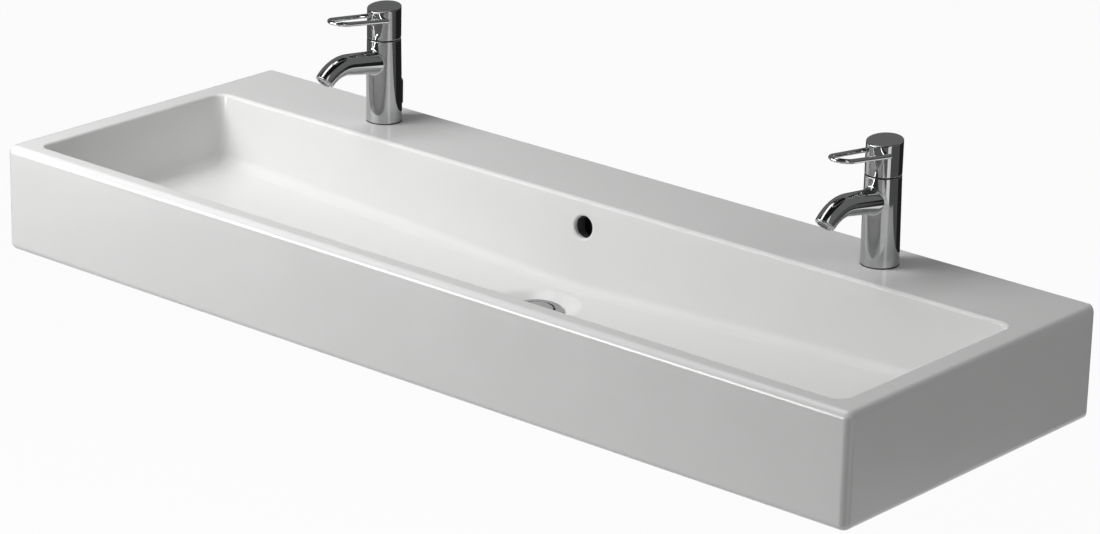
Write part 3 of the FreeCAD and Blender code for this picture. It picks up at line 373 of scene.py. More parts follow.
def settle(item, body, slot, *nodes, finish=None):
    """Put a finished piece on its body with its finish, in place of the nodes it stands for."""
    item.data.materials.clear()
    item.data.materials.append(FINISHES[finish or slot])
    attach(item, body)
    if nodes:
        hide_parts(*nodes)


def axis_of(box, level):
    """Return the point at a level on the upright axis of a box."""
    low, high = box
    return Vector(((low.x + high.x) / 2, (low.y + high.y) / 2, level))


def tap_axis(side):
    """Return where a tap's axis meets the deck."""
    return axis_of(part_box(f"{side}_cartridge_nut"), BASIN_HIGH.z)


def drain_axis(basin):
    """Return where the waste's axis meets the level of the wall fixings."""
    return Vector((0, -basin.drain_reach, 0))


# Finishes
NOISE_LOW, NOISE_HIGH = 0.3, 0.7
# Corners of a box around the inside of the overflow's duct, where a dark colour is painted as shade
PAINTED_SHADE_LOW = Vector((-22.4, -110.5, -65)) * MM
PAINTED_SHADE_HIGH = Vector((22.4, -83, 44.5)) * MM


def add_node(tree, kind, inputs=None, **attributes):
    """Add a node with its attributes, and link its inputs to sockets or set them to values."""
    node = tree.nodes.new(kind)
    for name, value in attributes.items():
        setattr(node, name, value)
    for name, value in (inputs or {}).items():
        if isinstance(value, bpy.types.NodeSocket):
            tree.links.new(value, node.inputs[name])
        else:
            node.inputs[name].default_value = value
    return node


def new_material(name):
    """Return a new material and its node tree."""
    material = bpy.data.materials.new(name)
    material.use_nodes = True
    return material, material.node_tree


class Finish:
    """A procedural material that is built up from noise on object coordinates."""

    def __init__(self, slot):
        FINISHES[slot], self.tree = new_material(f"washbasin_{slot}")
        self.shader = self.tree.nodes["Principled BSDF"]
        self.place = add_node(self.tree, "ShaderNodeTexCoord").outputs["Object"]
        self.normal = None

    def feed(self, name, socket):
        """Link a socket to an input of the shader."""
        self.tree.links.new(socket, self.shader.inputs[name])
        return self

    def noise(self, scale, detail, stretch=None):
        """Return noise at a scale, stretched along the axes if asked."""
        place = self.place
        if stretch:
            mapping = add_node(self.tree, "ShaderNodeMapping", {"Vector": place, "Scale": stretch})
            place = mapping.outputs["Vector"]
        inputs = {"Vector": place, "Scale": scale, "Detail": detail}
        return add_node(self.tree, "ShaderNodeTexNoise", inputs).outputs["Fac"]

    def mix(self, factor, first, second):
        """Return a blend of two colours."""
        inputs = {"Factor": factor, "A": first, "B": second}
        return add_node(self.tree, "ShaderNodeMix", inputs, data_type="RGBA").outputs["Result"]

    def calculate(self, operation, *values):
        inputs = dict(enumerate(values))
        return add_node(self.tree, "ShaderNodeMath", inputs, operation=operation).outputs[0]

    def tint(self, colour, spread, scale):
        """Vary the colour around its value."""
        dark = [part * (1 - spread) for part in colour] + [1]
        pale = [min(part * (1 + spread), 1.0) for part in colour] + [1]
        return self.feed("Base Color", self.mix(self.noise(scale, detail=3.0), dark, pale))

    def painted_shade(self, colour, low, high):
        """Paint another colour inside a box, as painted shade."""
        place = add_node(self.tree, "ShaderNodeSeparateXYZ", {0: self.place}).outputs
        inside = 1.0
        for axis in range(3):
            middle = (low[axis] + high[axis]) / 2
            reach = (high[axis] - low[axis]) / 2
            within = self.calculate("COMPARE", place[axis], middle, reach)
            inside = self.calculate("MULTIPLY", inside, within)
        covered = self.shader.inputs["Base Color"].links[0].from_socket
        return self.feed("Base Color", self.mix(inside, covered, [*colour, 1]))

    def gloss(self, low, high, scale, stretch=None):
        """Vary the roughness between two values."""
        inputs = {
            "Value": self.noise(scale, detail=3.0, stretch=stretch), "From Min": NOISE_LOW,
            "From Max": NOISE_HIGH, "To Min": low, "To Max": high,
        }
        return self.feed("Roughness", add_node(self.tree, "ShaderNodeMapRange", inputs).outputs["Result"])

    def relief(self, scale, depth, strength, stretch=None):
        """Add a fine relief with a depth in metres."""
        height = self.noise(scale, detail=2.0, stretch=stretch)
        inputs = {"Height": height, "Strength": strength, "Distance": depth}
        if self.normal:
            inputs["Normal"] = self.normal
        self.normal = add_node(self.tree, "ShaderNodeBump", inputs).outputs["Normal"]
        return self.feed("Normal", self.normal)

    def set(self, **values):
        for name, value in values.items():
            self.shader.inputs[name].default_value = value
        return self


def make_finishes(colours):
    """Make a material for each slot of the record, and for the waste a rougher copy of the chrome whose
    darker colour is painted shade.
    """
    glaze = Finish("glaze").tint(colours.glaze, spread=0.02, scale=5.0).gloss(0.15, 0.22, scale=18.0)
    glaze.relief(scale=9.0, depth=0.0006, strength=0.25).relief(scale=160.0, depth=0.00005, strength=0.2)
    # The inside of the overflow's duct is painted dark as shade
    glaze.painted_shade(colours.painted_overflow_shade, PAINTED_SHADE_LOW, PAINTED_SHADE_HIGH).set(IOR=1.52)
    chrome = Finish("chrome_plate").tint(colours.chrome, spread=0.03, scale=30.0)
    chrome.gloss(0.035, 0.07, scale=60.0).relief(scale=45.0, depth=0.00004, strength=0.25).set(Metallic=1.0)
    # A rougher copy of the chrome for the waste, with a darker colour as painted shade
    satin_and_shade = Finish("shaded_waste_chrome").tint(colours.waste, spread=0.04, scale=30.0)
    satin_and_shade.gloss(0.1, 0.18, scale=60.0).relief(scale=45.0, depth=0.00004, strength=0.25).set(Metallic=1.0)
    brass = Finish("raw_brass").tint(colours.brass, spread=0.1, scale=80.0)
    brass.gloss(0.25, 0.42, scale=120.0, stretch=(1, 1, 8))
    brass.relief(scale=500.0, depth=0.0001, strength=0.3, stretch=(1, 1, 6)).set(Metallic=1.0)
    steel = Finish("zinc_steel").tint(colours.steel, spread=0.08, scale=90.0)
    steel.gloss(0.28, 0.45, scale=140.0).relief(scale=700.0, depth=0.0001, strength=0.3).set(Metallic=1.0)
    rubber = Finish("seal_rubber").tint(colours.rubber, spread=0.25, scale=200.0)
    rubber.gloss(0.5, 0.7, scale=150.0).relief(scale=900.0, depth=0.0001, strength=0.4)
    plastic = Finish("inner_plastic").tint(colours.plastic, spread=0.05, scale=60.0)
    plastic.gloss(0.4, 0.55, scale=110.0).relief(scale=800.0, depth=0.00005, strength=0.4)
    disc = Finish("disc_ceramic").tint(colours.disc, spread=0.04, scale=70.0)
    disc.gloss(0.3, 0.4, scale=110.0).relief(scale=900.0, depth=0.00004, strength=0.3)


# The ceramic basin
LEAST_CORNER = 1 * MM
WALL_SHARE = 0.25
SHELL_EDGE = 4 * MM
APRON_EDGE = 2 * MM
SEAT_DROP = 4 * MM
WASTE_HOLE = 23 * MM
TAP_HOLE = 17.5 * MM
BOLT_HOLE = 7 * MM
BOLT_REACH = 280 * MM
DUCT_HALF = 22 * MM
DUCT_WALL = 6 * MM
DUCT_DEPTH = 14 * MM
DUCT_LIFT = 0.5 * MM
DUCT_SUNK = 1 * MM
CHANNEL_TOP = 13 * MM
OVERFLOW_LENGTH = 30 * MM
BRIM = 0.2 * MM
BRIM_LIFT = 0.02 * MM
BRIM_HEIGHT = 3 * MM
# Radius and height in millimetres of the boss, from its foot, and of the dish, from the waste's seat
BOSS = ((44, 0), (47, 0.8), (48, 3))
DISH = ((30, 0), (32, 0.25), (34, 1.0), (36, 2.0), (43, 5.7), (46, 7.1), (49, 8.2), (53, 9.2), (58, 10.1))
# Steps of an outline along its front, across its end and round its corner, and those before its back
ALONG, ACROSS, BEND = 48, 16, 10
BACK_RUN = ALONG + BEND + ACROSS + BEND


def outline(half, front, back, radius):
    """Return a rounded rectangle's points (x, y), anticlockwise from the front left."""
    corners = (
        (half - radius, front + radius, -90, ALONG), (half - radius, back - radius, 0, ACROSS),
        (radius - half, back - radius, 90, ALONG), (radius - half, front + radius, 180, ACROSS),
    )
    points = []
    start = Vector((radius - half, front))
    for x, y, heading, steps in corners:
        bend = [Vector(point) for point in arc(x, y, radius, heading, heading + 90, BEND)]
        points += [start.lerp(bend[0], step / steps) for step in range(steps)]
        points += bend[:-1]
        start = bend[-1]
    return points


def at_level(points, level):
    """Return flat points (x, y) at a level."""
    return [Vector((x, y, level)) for x, y in points]


class BasinShape:
    """Outlines of the basin at any level."""

    def __init__(self, sizes):
        self.sizes = sizes
        self.half = BASIN_HIGH.x
        self.depth = -BASIN_LOW.y
        self.rim = BASIN_HIGH.z
        self.base = self.rim - sizes.base_drop
        self.lean = math.tan(sizes.wall_lean)
        self.floor_low = self.rim - sizes.bowl_depth - sizes.floor_fall
        self.floor_half = self.half - sizes.side_rim - (sizes.bowl_depth + sizes.floor_fall) * self.lean

    def outside(self, inset, level):
        """The outer outline, drawn in by an inset that is small at the wall."""
        radius = max(self.sizes.corner - inset, LEAST_CORNER)
        return at_level(outline(self.half - inset, inset - self.depth, -inset * WALL_SHARE, radius), level)

    def apron(self, level, grow=0.0):
        """The inner outline of the apron."""
        wall = self.sizes.wall - grow
        return at_level(outline(self.half - wall, wall - self.depth, -wall, self.sizes.corner), level)

    def bowl_outline(self, flare, level):
        """The bowl's outline at a level, moved outwards from its leaning wall by a flare."""
        grow = flare - (self.rim - level) * self.lean
        sizes = self.sizes
        return outline(
            self.half - sizes.side_rim + grow, sizes.front_rim - self.depth - grow, grow - sizes.back_ledge,
            sizes.bowl_corner + flare)

    def bowl(self, flare, level):
        return at_level(self.bowl_outline(flare, level), level)

    def floor(self, x):
        """Height of the floor at a distance from the middle."""
        return self.floor_low + self.sizes.floor_fall * math.hypot(x, self.sizes.valley) / self.floor_half

    def foot(self, flare, lift):
        """The bowl's outline at a height above the sloping floor."""
        loop = []
        for index, (x, _) in enumerate(self.bowl_outline(flare, self.floor_low)):
            level = self.floor(x) + lift
            x, y = self.bowl_outline(flare, level)[index]
            loop.append(Vector((x, y, level)))
        return loop

    def loops(self):
        """All outlines in order: under the shell, up inside the apron, round the rim, down to the floor."""
        sizes = self.sizes
        shell_low = self.floor_low - sizes.wall
        under = self.rim - sizes.deck
        loops = []
        for inset, lift in arc(0, 0, SHELL_EDGE, 270, 360, steps=4):
            loops.append(self.bowl(sizes.wall - SHELL_EDGE + inset, shell_low + SHELL_EDGE + lift))
        loops.append(self.bowl(sizes.wall, under))
        loops.append(self.apron(under))
        for grow, lift in arc(APRON_EDGE, APRON_EDGE, APRON_EDGE, 180, 270, steps=3):
            loops.append(self.apron(self.base + lift, grow))
        radius = sizes.base_round
        for reach, lift in arc(0, 0, radius, 270, 360, steps=6):
            loops.append(self.outside(radius - reach, self.base + radius + lift))
        radius = sizes.top_round
        for reach, lift in arc(0, 0, radius, 0, 90, steps=10):
            loops.append(self.outside(radius - reach, self.rim - radius + lift))
        radius = sizes.mouth_round
        lean = math.degrees(sizes.wall_lean)
        centre = radius / math.cos(sizes.wall_lean)
        for reach, lift in arc(0, 0, radius, 90, 180 - lean, steps=8):
            level = self.rim - radius + lift
            flare = centre + reach - radius * self.lean + (self.rim - level) * self.lean
            loops.append(self.bowl(flare, level))
        radius = sizes.foot_round
        centre = radius / math.cos(sizes.wall_lean)
        for reach, lift in arc(0, 0, radius, -lean, -90, steps=8):
            loops.append(self.foot(reach - centre - lift * self.lean, radius + lift))
        return loops


def basin_skin(shape):
    """Return the basin's whole surface, with its floor laid in strips from front to back."""
    bm = bmesh.new()
    floor = add_skin(bm, shape.loops(), start="flat")[-1]
    for index in range(ALONG):
        far = BACK_RUN + ALONG - index
        bm.faces.new((floor[index], floor[index + 1], floor[far - 1], floor[far]))
    bm.faces.new(floor[ALONG:BACK_RUN + 1])
    bm.faces.new(floor[BACK_RUN + ALONG:] + floor[:1])
    return bm


def duct(half, profile):
    """Return a solid with a profile of (y, z) points, drawn out to both sides of the middle."""
    return skin([[Vector((x, y, z)) for y, z in profile] for x in (-half, half)], "flat", "flat")


def overflow_hole(shape):
    """Return the cutter for the overflow: a round hole with a flared lip, square to the bowl's back wall."""
    sizes = shape.sizes
    radius, lip = sizes.overflow_radius, sizes.overflow_flare
    brim = radius + lip + BRIM
    trumpet = [(radius, -OVERFLOW_LENGTH)]
    trumpet += arc(radius + lip, -lip, lip, 180, 90, steps=8)
    trumpet += [(brim, BRIM_LIFT), (brim, BRIM_HEIGHT)]
    back = sizes.back_ledge + sizes.overflow_drop * shape.lean
    at = Vector((0, -back, shape.rim - sizes.overflow_drop))
    return tipped(lathe(trumpet, segments=48), QUARTER_TURN - sizes.wall_lean, at)


def make_basin(sizes):
    """Build the basin in one skin, then join its boss and its duct, and cut its openings."""
    shape = BasinShape(sizes)
    basin = solid("ceramic_basin", basin_skin(shape))
    drain = drain_axis(sizes)
    low, seat = BASIN_LOW.z, FLANGE_HIGH.z - SEAT_DROP
    boss = [(radius * MM, low + height * MM) for radius, height in BOSS]
    boss.append((boss[-1][0], seat))
    dish = [(radius * MM, seat + height * MM) for radius, height in DISH]
    dish.append((dish[-1][0], 0))

    front, back = sizes.wall - sizes.back_ledge, sizes.wall + DUCT_DEPTH - sizes.back_ledge
    riser_front, riser_back = front - sizes.wall / 2, back + DUCT_WALL
    riser_top = shape.rim - sizes.deck / 2
    duct_low, duct_high = low + DUCT_LIFT, seat - DUCT_SUNK
    outside = [
        (drain.y, duct_low), (riser_back, duct_low), (riser_back, riser_top), (riser_front, riser_top),
        (riser_front - (riser_top - duct_high) * shape.lean, duct_high), (drain.y, duct_high),
    ]
    under = shape.rim - sizes.deck
    channel_low, channel_high = low + DUCT_WALL, low + CHANNEL_TOP
    inside = [
        (drain.y, channel_low), (back, channel_low), (back, under),
        (front, under), (front, channel_high), (drain.y, channel_high),
    ]

    combine(basin, "UNION", lathe(boss, centre=drain), duct(DUCT_HALF + DUCT_WALL, outside))
    cutters = [
        lathe(dish, centre=drain),
        rod(WASTE_HOLE, low - OVERSHOOT, seat + OVERSHOOT, centre=drain),
        duct(DUCT_HALF, inside),
        overflow_hole(shape),
    ]
    for side in SIDES:
        hole = rod(TAP_HOLE, -sizes.deck - OVERSHOOT, OVERSHOOT, segments=64, centre=tap_axis(side))
        cutters.append(hole)
    for x in (-BOLT_REACH, BOLT_REACH):
        bolt = rod(BOLT_HOLE, -OVERSHOOT, sizes.wall + OVERSHOOT, segments=32)
        cutters.append(tipped(bolt, QUARTER_TURN, (x, 0, 0)))
    combine(basin, "DIFFERENCE", *cutters)
    settle(smooth(basin), "basin", "glaze", "basin")


# The taps
BORE_LEAD = 0.4 * MM
ROOT_OVERLAP = 0.5 * MM
# Holes for the lift rod, the stud and the two inlets in millimetres: radius, place (x, y) and depth
FOOT_HOLES = ((2.28, 0, 14.5, 18), (4.05, 0, -10, 14.2), (4.6, -7.5, 3, 16.2), (4.6, 7.5, 3, 16.2))


class SpoutLine:
    """The spout's centre line: a straight rise, then a bend down to the outlet."""

    def __init__(self, sizes):
        self.sizes = sizes
        self.bend_reach = sizes.reach - sizes.bend * (math.sin(sizes.rise) + math.sin(sizes.dip))
        self.straight = (self.bend_reach - sizes.root_reach) / math.cos(sizes.rise)
        self.total = self.straight + sizes.bend * (sizes.rise + sizes.dip)

    def at(self, way):
        """Return the point, the heading and the upward normal at a distance along the line."""
        sizes = self.sizes
        if way <= self.straight:
            slope = sizes.rise
            reach = sizes.root_reach + way * math.cos(slope)
            height = sizes.root_height + way * math.sin(slope)
        else:
            slope = sizes.rise - (way - self.straight) / sizes.bend
            reach = self.bend_reach + sizes.bend * (math.sin(sizes.rise) - math.sin(slope))
            height = sizes.root_height + self.straight * math.sin(sizes.rise)
            height -= sizes.bend * (math.cos(sizes.rise) - math.cos(slope))
        heading = Vector((0, -math.cos(slope), math.sin(slope)))
        normal = Vector((0, math.sin(slope), math.cos(slope)))
        return Vector((0, -reach, height)), heading, normal

    def radius(self, way):
        share = way / self.total
        return self.sizes.root_radius + (self.sizes.end_radius - self.sizes.root_radius) * share

    def ring(self, way, radius, ahead=0.0):
        """Return a circle around the line."""
        point, heading, normal = self.at(way)
        loop = []
        for turn in full_turn(SEGMENTS):
            side = Vector((math.cos(turn), 0, 0)) + math.sin(turn) * normal
            loop.append(point + heading * ahead + side * radius)
        return loop


def column_ring(sizes, level):
    """Return the column's centre offset and radius at a level."""
    share = (level - sizes.seal) / (sizes.column_height - sizes.seal)
    radius = sizes.base_radius + (sizes.top_radius - sizes.base_radius) * share
    return sizes.column_lean * (1 - share), radius


def root_loops(sizes, line):
    """Return the loops of the rounding that a ball leaves as it rolls between column and spout."""
    ball = sizes.root_fillet
    steps, halvings = 7, 40
    loops = [[] for _ in range(steps + 1)]
    last = 0.0
    for turn in full_turn(SEGMENTS):
        low, high = 0.0, line.straight
        for _ in range(halvings):
            way = (low + high) / 2
            point, _, normal = line.at(way)
            side = Vector((math.cos(turn), 0, 0)) + math.sin(turn) * normal
            centre = point + side * (line.radius(way) + ball)
            back, radius = column_ring(sizes, centre.z)
            away = Vector((centre.x, centre.y - back, 0))
            if away.length < radius + ball:
                low = way
            else:
                high = way
        last = max(last, high)
        inward = -away.normalized()
        loops[0].append(centre + inward * (ball + ROOT_OVERLAP))
        for step in range(steps):
            loops[step + 1].append(centre + inward.slerp(-side, step / (steps - 1)) * ball)
    return loops, last


def make_column(side, sizes):
    """Build a tap's column with its cartridge bore, its groove and the holes in its foot."""
    edge, top = sizes.edge, sizes.column_height
    walls = 10
    span = top - sizes.seal - 2 * edge
    levels = [(sizes.seal + edge + lift, edge - reach) for reach, lift in arc(0, 0, edge, 270, 360, steps=4)]
    levels += [(sizes.seal + edge + span * step / walls, 0.0) for step in range(1, walls)]
    levels += [(top - edge + lift, edge - reach) for reach, lift in arc(0, 0, edge, 0, 90, steps=4)]
    loops = []
    for level, inset in levels:
        back, radius = column_ring(sizes, level)
        loops.append(circle(radius - inset, level, back=back))
    loops.append(circle(sizes.bore + BORE_LEAD, top))
    loops.append(circle(sizes.bore, top - BORE_LEAD))
    loops.append(circle(sizes.bore, top - sizes.bore_depth))
    column = solid(f"{side}_tap_column", skin(loops, "flat", "flat"))
    groove_axis = Vector((0, sizes.groove_back, 0))
    groove = rod(sizes.groove_radius, sizes.groove_low, sizes.groove_high, segments=64, centre=groove_axis)
    cutters = [groove]
    for radius, x, y, depth in FOOT_HOLES:
        hole = rod(radius * MM, 0, depth * MM, segments=32, centre=Vector((x * MM, y * MM, 0)))
        cutters.append(hole)
    combine(column, "DIFFERENCE", *cutters)
    return column


def make_tap(side, sizes):
    """Build a tap's column and spout."""
    column = make_column(side, sizes)
    line = SpoutLine(sizes)
    edge = sizes.edge
    stations = 40
    loops, root_end = root_loops(sizes, line)
    start, finish = root_end + ROOT_OVERLAP, line.total - edge
    for step in range(stations + 1):
        way = start + (finish - start) * step / stations
        loops.append(line.ring(way, line.radius(way)))
    end_radius = line.radius(line.total)
    for reach, ahead in arc(0, 0, edge, 0, 90, steps=4)[1:]:
        loops.append(line.ring(line.total, end_radius - edge + reach, ahead - edge))
    loops.append(line.ring(line.total, sizes.socket + BORE_LEAD))
    loops.append(line.ring(line.total, sizes.socket, -BORE_LEAD))
    loops.append(line.ring(line.total, sizes.socket, -sizes.socket_depth))
    add_limb(column, loops, "fan", "flat", tap_axis(side))
    settle(smooth(column), "basin", "chrome_plate", f"{side}_tap_body")


# The levers and lift knobs
CAP_LEAD = 0.5 * MM
KNOB_EDGE = 0.6 * MM
WIRE_SEGMENTS = 32


def loop_line(sizes):
    """Return the loop's centre line as seen from above: two arms that close in to a round tip."""
    half, tip = sizes.half_width, sizes.tip_radius
    sunk = sizes.cap_wall / 3
    root = math.sqrt((sizes.cap_radius - sunk) ** 2 - half ** 2)
    middle = sizes.reach - sizes.wire - tip
    span = middle - root
    taper = math.acos(tip / math.hypot(half, span)) - math.atan2(span, half)
    arm = [Vector((half, -root)), Vector((tip * math.cos(taper), -middle - tip * math.sin(taper)))]
    steps = 16
    right = [arm[0].lerp(arm[1], step / steps) for step in range(steps)]
    start = -math.degrees(taper)
    bend = [Vector(point) for point in arc(0, -middle, tip, start, -180 - start, steps=32)]
    left = [Vector((-point.x, point.y)) for point in reversed(right)]
    return root, right + bend + left


def make_cap(side, sizes):
    """Build a lever's hollow cap with its sloping top and the recess for the screw cover."""
    def ring(radius, height):
        return [Vector((point.x, point.y, height(point.y))) for point in circle(radius, 0)]

    def top(drop):
        return lambda y: sizes.cap_top + y * math.tan(sizes.cap_slope) - drop

    def foot(lift):
        return lambda y: sizes.cap_low + max(0.0, y - sizes.relief_start) * math.tan(sizes.relief) + lift

    radius, edge, lead = sizes.cap_radius, sizes.cap_edge, CAP_LEAD
    hollow = radius - sizes.cap_wall
    under = sizes.cap_top - radius * math.tan(sizes.cap_slope) - sizes.cap_roof
    loops = [ring(hollow, lambda y: under), ring(hollow, foot(lead)), ring(hollow + lead, foot(0))]
    for reach, lift in arc(0, 0, lead, 270, 360, steps=4):
        loops.append(ring(radius - lead + reach, foot(lead + lift)))
    walls = 8
    for step in range(1, walls):
        share = step / walls
        loops.append(ring(radius, lambda y: foot(lead)(y) * (1 - share) + top(edge)(y) * share))
    for reach, lift in arc(0, 0, edge, 0, 90, steps=8):
        loops.append(ring(radius - edge + reach, top(edge - lift)))
    loops.append(ring(radius - 2 * edge, top(0)))
    cap = solid(f"{side}_lever_cap", skin(loops, "flat", "fan"))
    low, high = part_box(f"{side}_screw_cover")
    level = (low.z + high.z) / 2 - BASIN_HIGH.z
    recess = rod(sizes.cover_radius, sizes.cover_depth, radius + OVERSHOOT, segments=48)
    combine(cap, "DIFFERENCE", tipped(recess, -QUARTER_TURN, (0, 0, level)))
    return cap


def make_lever(side, sizes):
    """Build a lever: its cap and the wire loop."""
    lever = make_cap(side, sizes)
    root, line = loop_line(sizes)
    rise = Matrix.Rotation(-sizes.loop_rise, 4, "X")
    hinge = Vector((0, -root, 0))
    lift = Vector((0, 0, sizes.loop_height))
    points = [rise @ (Vector((x, y, 0)) - hinge) + hinge + lift for x, y in line]
    normal = rise @ Vector((0, 0, 1))
    loops = []
    for index, point in enumerate(points):
        heading = points[min(index + 1, len(points) - 1)] - points[max(index - 1, 0)]
        across = heading.normalized().cross(normal)
        loops.append([
            point + sizes.wire * (math.cos(turn) * across + math.sin(turn) * normal)
            for turn in full_turn(WIRE_SEGMENTS)])
    add_limb(lever, loops, "flat", "flat", tap_axis(side))
    settle(smooth(lever), f"{side}_lever", "chrome_plate", f"{side}_handle")


def make_knob(side, sizes):
    """Build a lift knob with a rounded crown."""
    centre = axis_of(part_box(f"{side}_lift_knob"), BASIN_HIGH.z)
    radius, taper, crown = sizes.knob_radius, sizes.knob_taper, sizes.knob_crown
    crown_low = sizes.knob_low + sizes.knob_height - crown
    profile = []
    for x, z in arc(0, 0, KNOB_EDGE, 270, 360, steps=4):
        profile.append((radius - KNOB_EDGE + x, sizes.knob_low + KNOB_EDGE + z))
    for x, z in arc(0, 0, 1, 0, 90, steps=12):
        profile.append((radius - taper + taper * x, crown_low + crown * z))
    profile.append((radius - taper - KNOB_EDGE, crown_low + crown))
    knob = solid(f"{side}_pull_knob", lathe(profile, centre=centre))
    settle(smooth(knob), f"{side}_lift", "chrome_plate", f"{side}_lift_knob")


# The waste
TUBE_RADIUS = 20.9 * MM
TUBE_BORE = 17.5 * MM
PLUG_SEAT = 21.5 * MM
FLANGE_LIP = 2.5 * MM
FLANGE_EDGE = 0.5 * MM
FLANGE_SOFT = 1.5 * FLANGE_EDGE
THROAT = 6 * MM
PLATE = 3.8 * MM
PLATE_ROUND = 2.4 * MM
PLATE_ROUND_DROP = 2.7 * MM
# Radius and drop in millimetres of the plug's crown, from its top, and of its foot, from its plate
PLUG_CROWN = ((1, 0), (11, 0.06), (15, 0.2))
PLUG_FOOT = ((13, 0), (13, 3.05), (15, 3.05), (15, 8), (4, 8))


def make_waste(basin):
    """Build the waste's flange and its plug."""
    drain = drain_axis(basin)
    top, low = FLANGE_HIGH.z, FLANGE_LOW.z
    rim, lip_low = FLANGE_HIGH.x, FLANGE_HIGH.z - FLANGE_LIP
    edge, soft = FLANGE_EDGE, FLANGE_SOFT
    profile = [(TUBE_RADIUS, low), (TUBE_RADIUS, lip_low), (rim - edge, lip_low)]
    profile += arc(rim - edge, lip_low + edge, edge, 270, 395, steps=5)
    profile += arc(rim - FLANGE_LIP - edge / 2, top - soft, soft, 45, 90, steps=4)
    profile += arc(PLUG_SEAT + soft, top - soft, soft, 90, 165, steps=5)
    profile += [(TUBE_BORE, top - THROAT), (TUBE_BORE, low)]
    flange = solid("drain_flange", lathe(profile, ring=True, centre=drain))
    # The flange takes the darker chrome copy, its darkness painted shade
    settle(smooth(flange), "basin", "chrome_plate", "waste_flange", finish="shaded_waste_chrome")

    disc, crown = PLUG_HIGH.x, PLUG_HIGH.z
    under = crown - PLATE
    profile = [(radius * MM, crown - drop * MM) for radius, drop in PLUG_CROWN]
    profile += arc(disc - PLATE_ROUND, crown - PLATE_ROUND_DROP, PLATE_ROUND, 78, 0, steps=8)
    profile.append((disc, under))
    profile += [(radius * MM, under - drop * MM) for radius, drop in PLUG_FOOT]
    profile.append((profile[-1][0], PLUG_LOW.z))
    plug = solid("drain_plug", lathe(profile, centre=drain))
    # The plug takes the darker chrome copy, its darkness painted shade
    settle(smooth(plug), "plug", "chrome_plate", "waste_plug", finish="shaded_waste_chrome")


# Threads and grip ribs
COLLAR = 16 * MM
RIB_SHARE = 0.7


def new_tree(name, **inputs):
    """Start a Geometry Nodes tree with named inputs, and return it with the sockets that bring them."""
    tree = bpy.data.node_groups.new(name, "GeometryNodeTree")
    tree.interface.new_socket("Geometry", in_out="INPUT", socket_type="NodeSocketGeometry")
    for label, kind in inputs.items():
        tree.interface.new_socket(label, in_out="INPUT", socket_type=f"NodeSocket{kind}")
    tree.interface.new_socket("Geometry", in_out="OUTPUT", socket_type="NodeSocketGeometry")
    return tree, add_node(tree, "NodeGroupInput").outputs


def finish_tree(tree, points, piece, material):
    """End a tree by setting a real copy of a piece on every point, with its material."""
    spread = add_node(tree, "GeometryNodeInstanceOnPoints", {"Points": points, "Instance": piece})
    real = add_node(tree, "GeometryNodeRealizeInstances", {"Geometry": spread.outputs["Instances"]})
    inputs = {"Geometry": real.outputs["Geometry"], "Material": material}
    paint = add_node(tree, "GeometryNodeSetMaterial", inputs)
    add_node(tree, "NodeGroupOutput", {"Geometry": paint.outputs["Geometry"]})
    return tree


def thread_tree():
    """Ridges of a thread: rings stacked at a pitch."""
    tree, given = new_tree(
        "thread_ridges", Radius="Float", Ridge="Float", Pitch="Float", Count="Int", Material="Material")
    circle_kind = "GeometryNodeCurvePrimitiveCircle"
    ring = add_node(tree, circle_kind, {"Resolution": 64, "Radius": given["Radius"]})
    section = add_node(tree, circle_kind, {"Resolution": 8, "Radius": given["Ridge"]})
    inputs = {"Curve": ring.outputs["Curve"], "Profile Curve": section.outputs["Curve"]}
    ridge = add_node(tree, "GeometryNodeCurveToMesh", inputs)
    step = add_node(tree, "ShaderNodeCombineXYZ", {"Z": given["Pitch"]})
    inputs = {"Count": given["Count"], "Offset": step.outputs["Vector"]}
    stack = add_node(tree, "GeometryNodeMeshLine", inputs)
    return finish_tree(tree, stack.outputs["Mesh"], ridge.outputs["Mesh"], given["Material"])


def rib_tree():
    """Grip ribs: upright rods set around a collar."""
    tree, given = new_tree(
        "grip_ribs", Radius="Float", Rib="Float", Height="Float", Count="Int", Material="Material")
    inputs = {"Vertices": 12, "Radius": given["Rib"], "Depth": given["Height"]}
    rib = add_node(tree, "GeometryNodeMeshCylinder", inputs)
    around = add_node(tree, "GeometryNodeMeshCircle", {"Vertices": given["Count"], "Radius": given["Radius"]})
    return finish_tree(tree, around.outputs["Mesh"], rib.outputs["Mesh"], given["Material"])


def grown(name, tree, at, slot, **values):
    """Run a tree with its inputs set, and put its result in place on the basin."""
    item = new_object(name, bpy.data.meshes.new(name))
    modifier = item.modifiers.new("nodes", "NODES")
    modifier.node_group = tree
    values["Material"] = FINISHES[slot]
    for socket in tree.interface.items_tree:
        if socket.in_out == "INPUT" and socket.name in values:
            modifier[socket.identifier] = values[socket.name]
    applied(item)
    item.data.transform(Matrix.Translation(at))
    settle(smooth(item), "basin", slot)


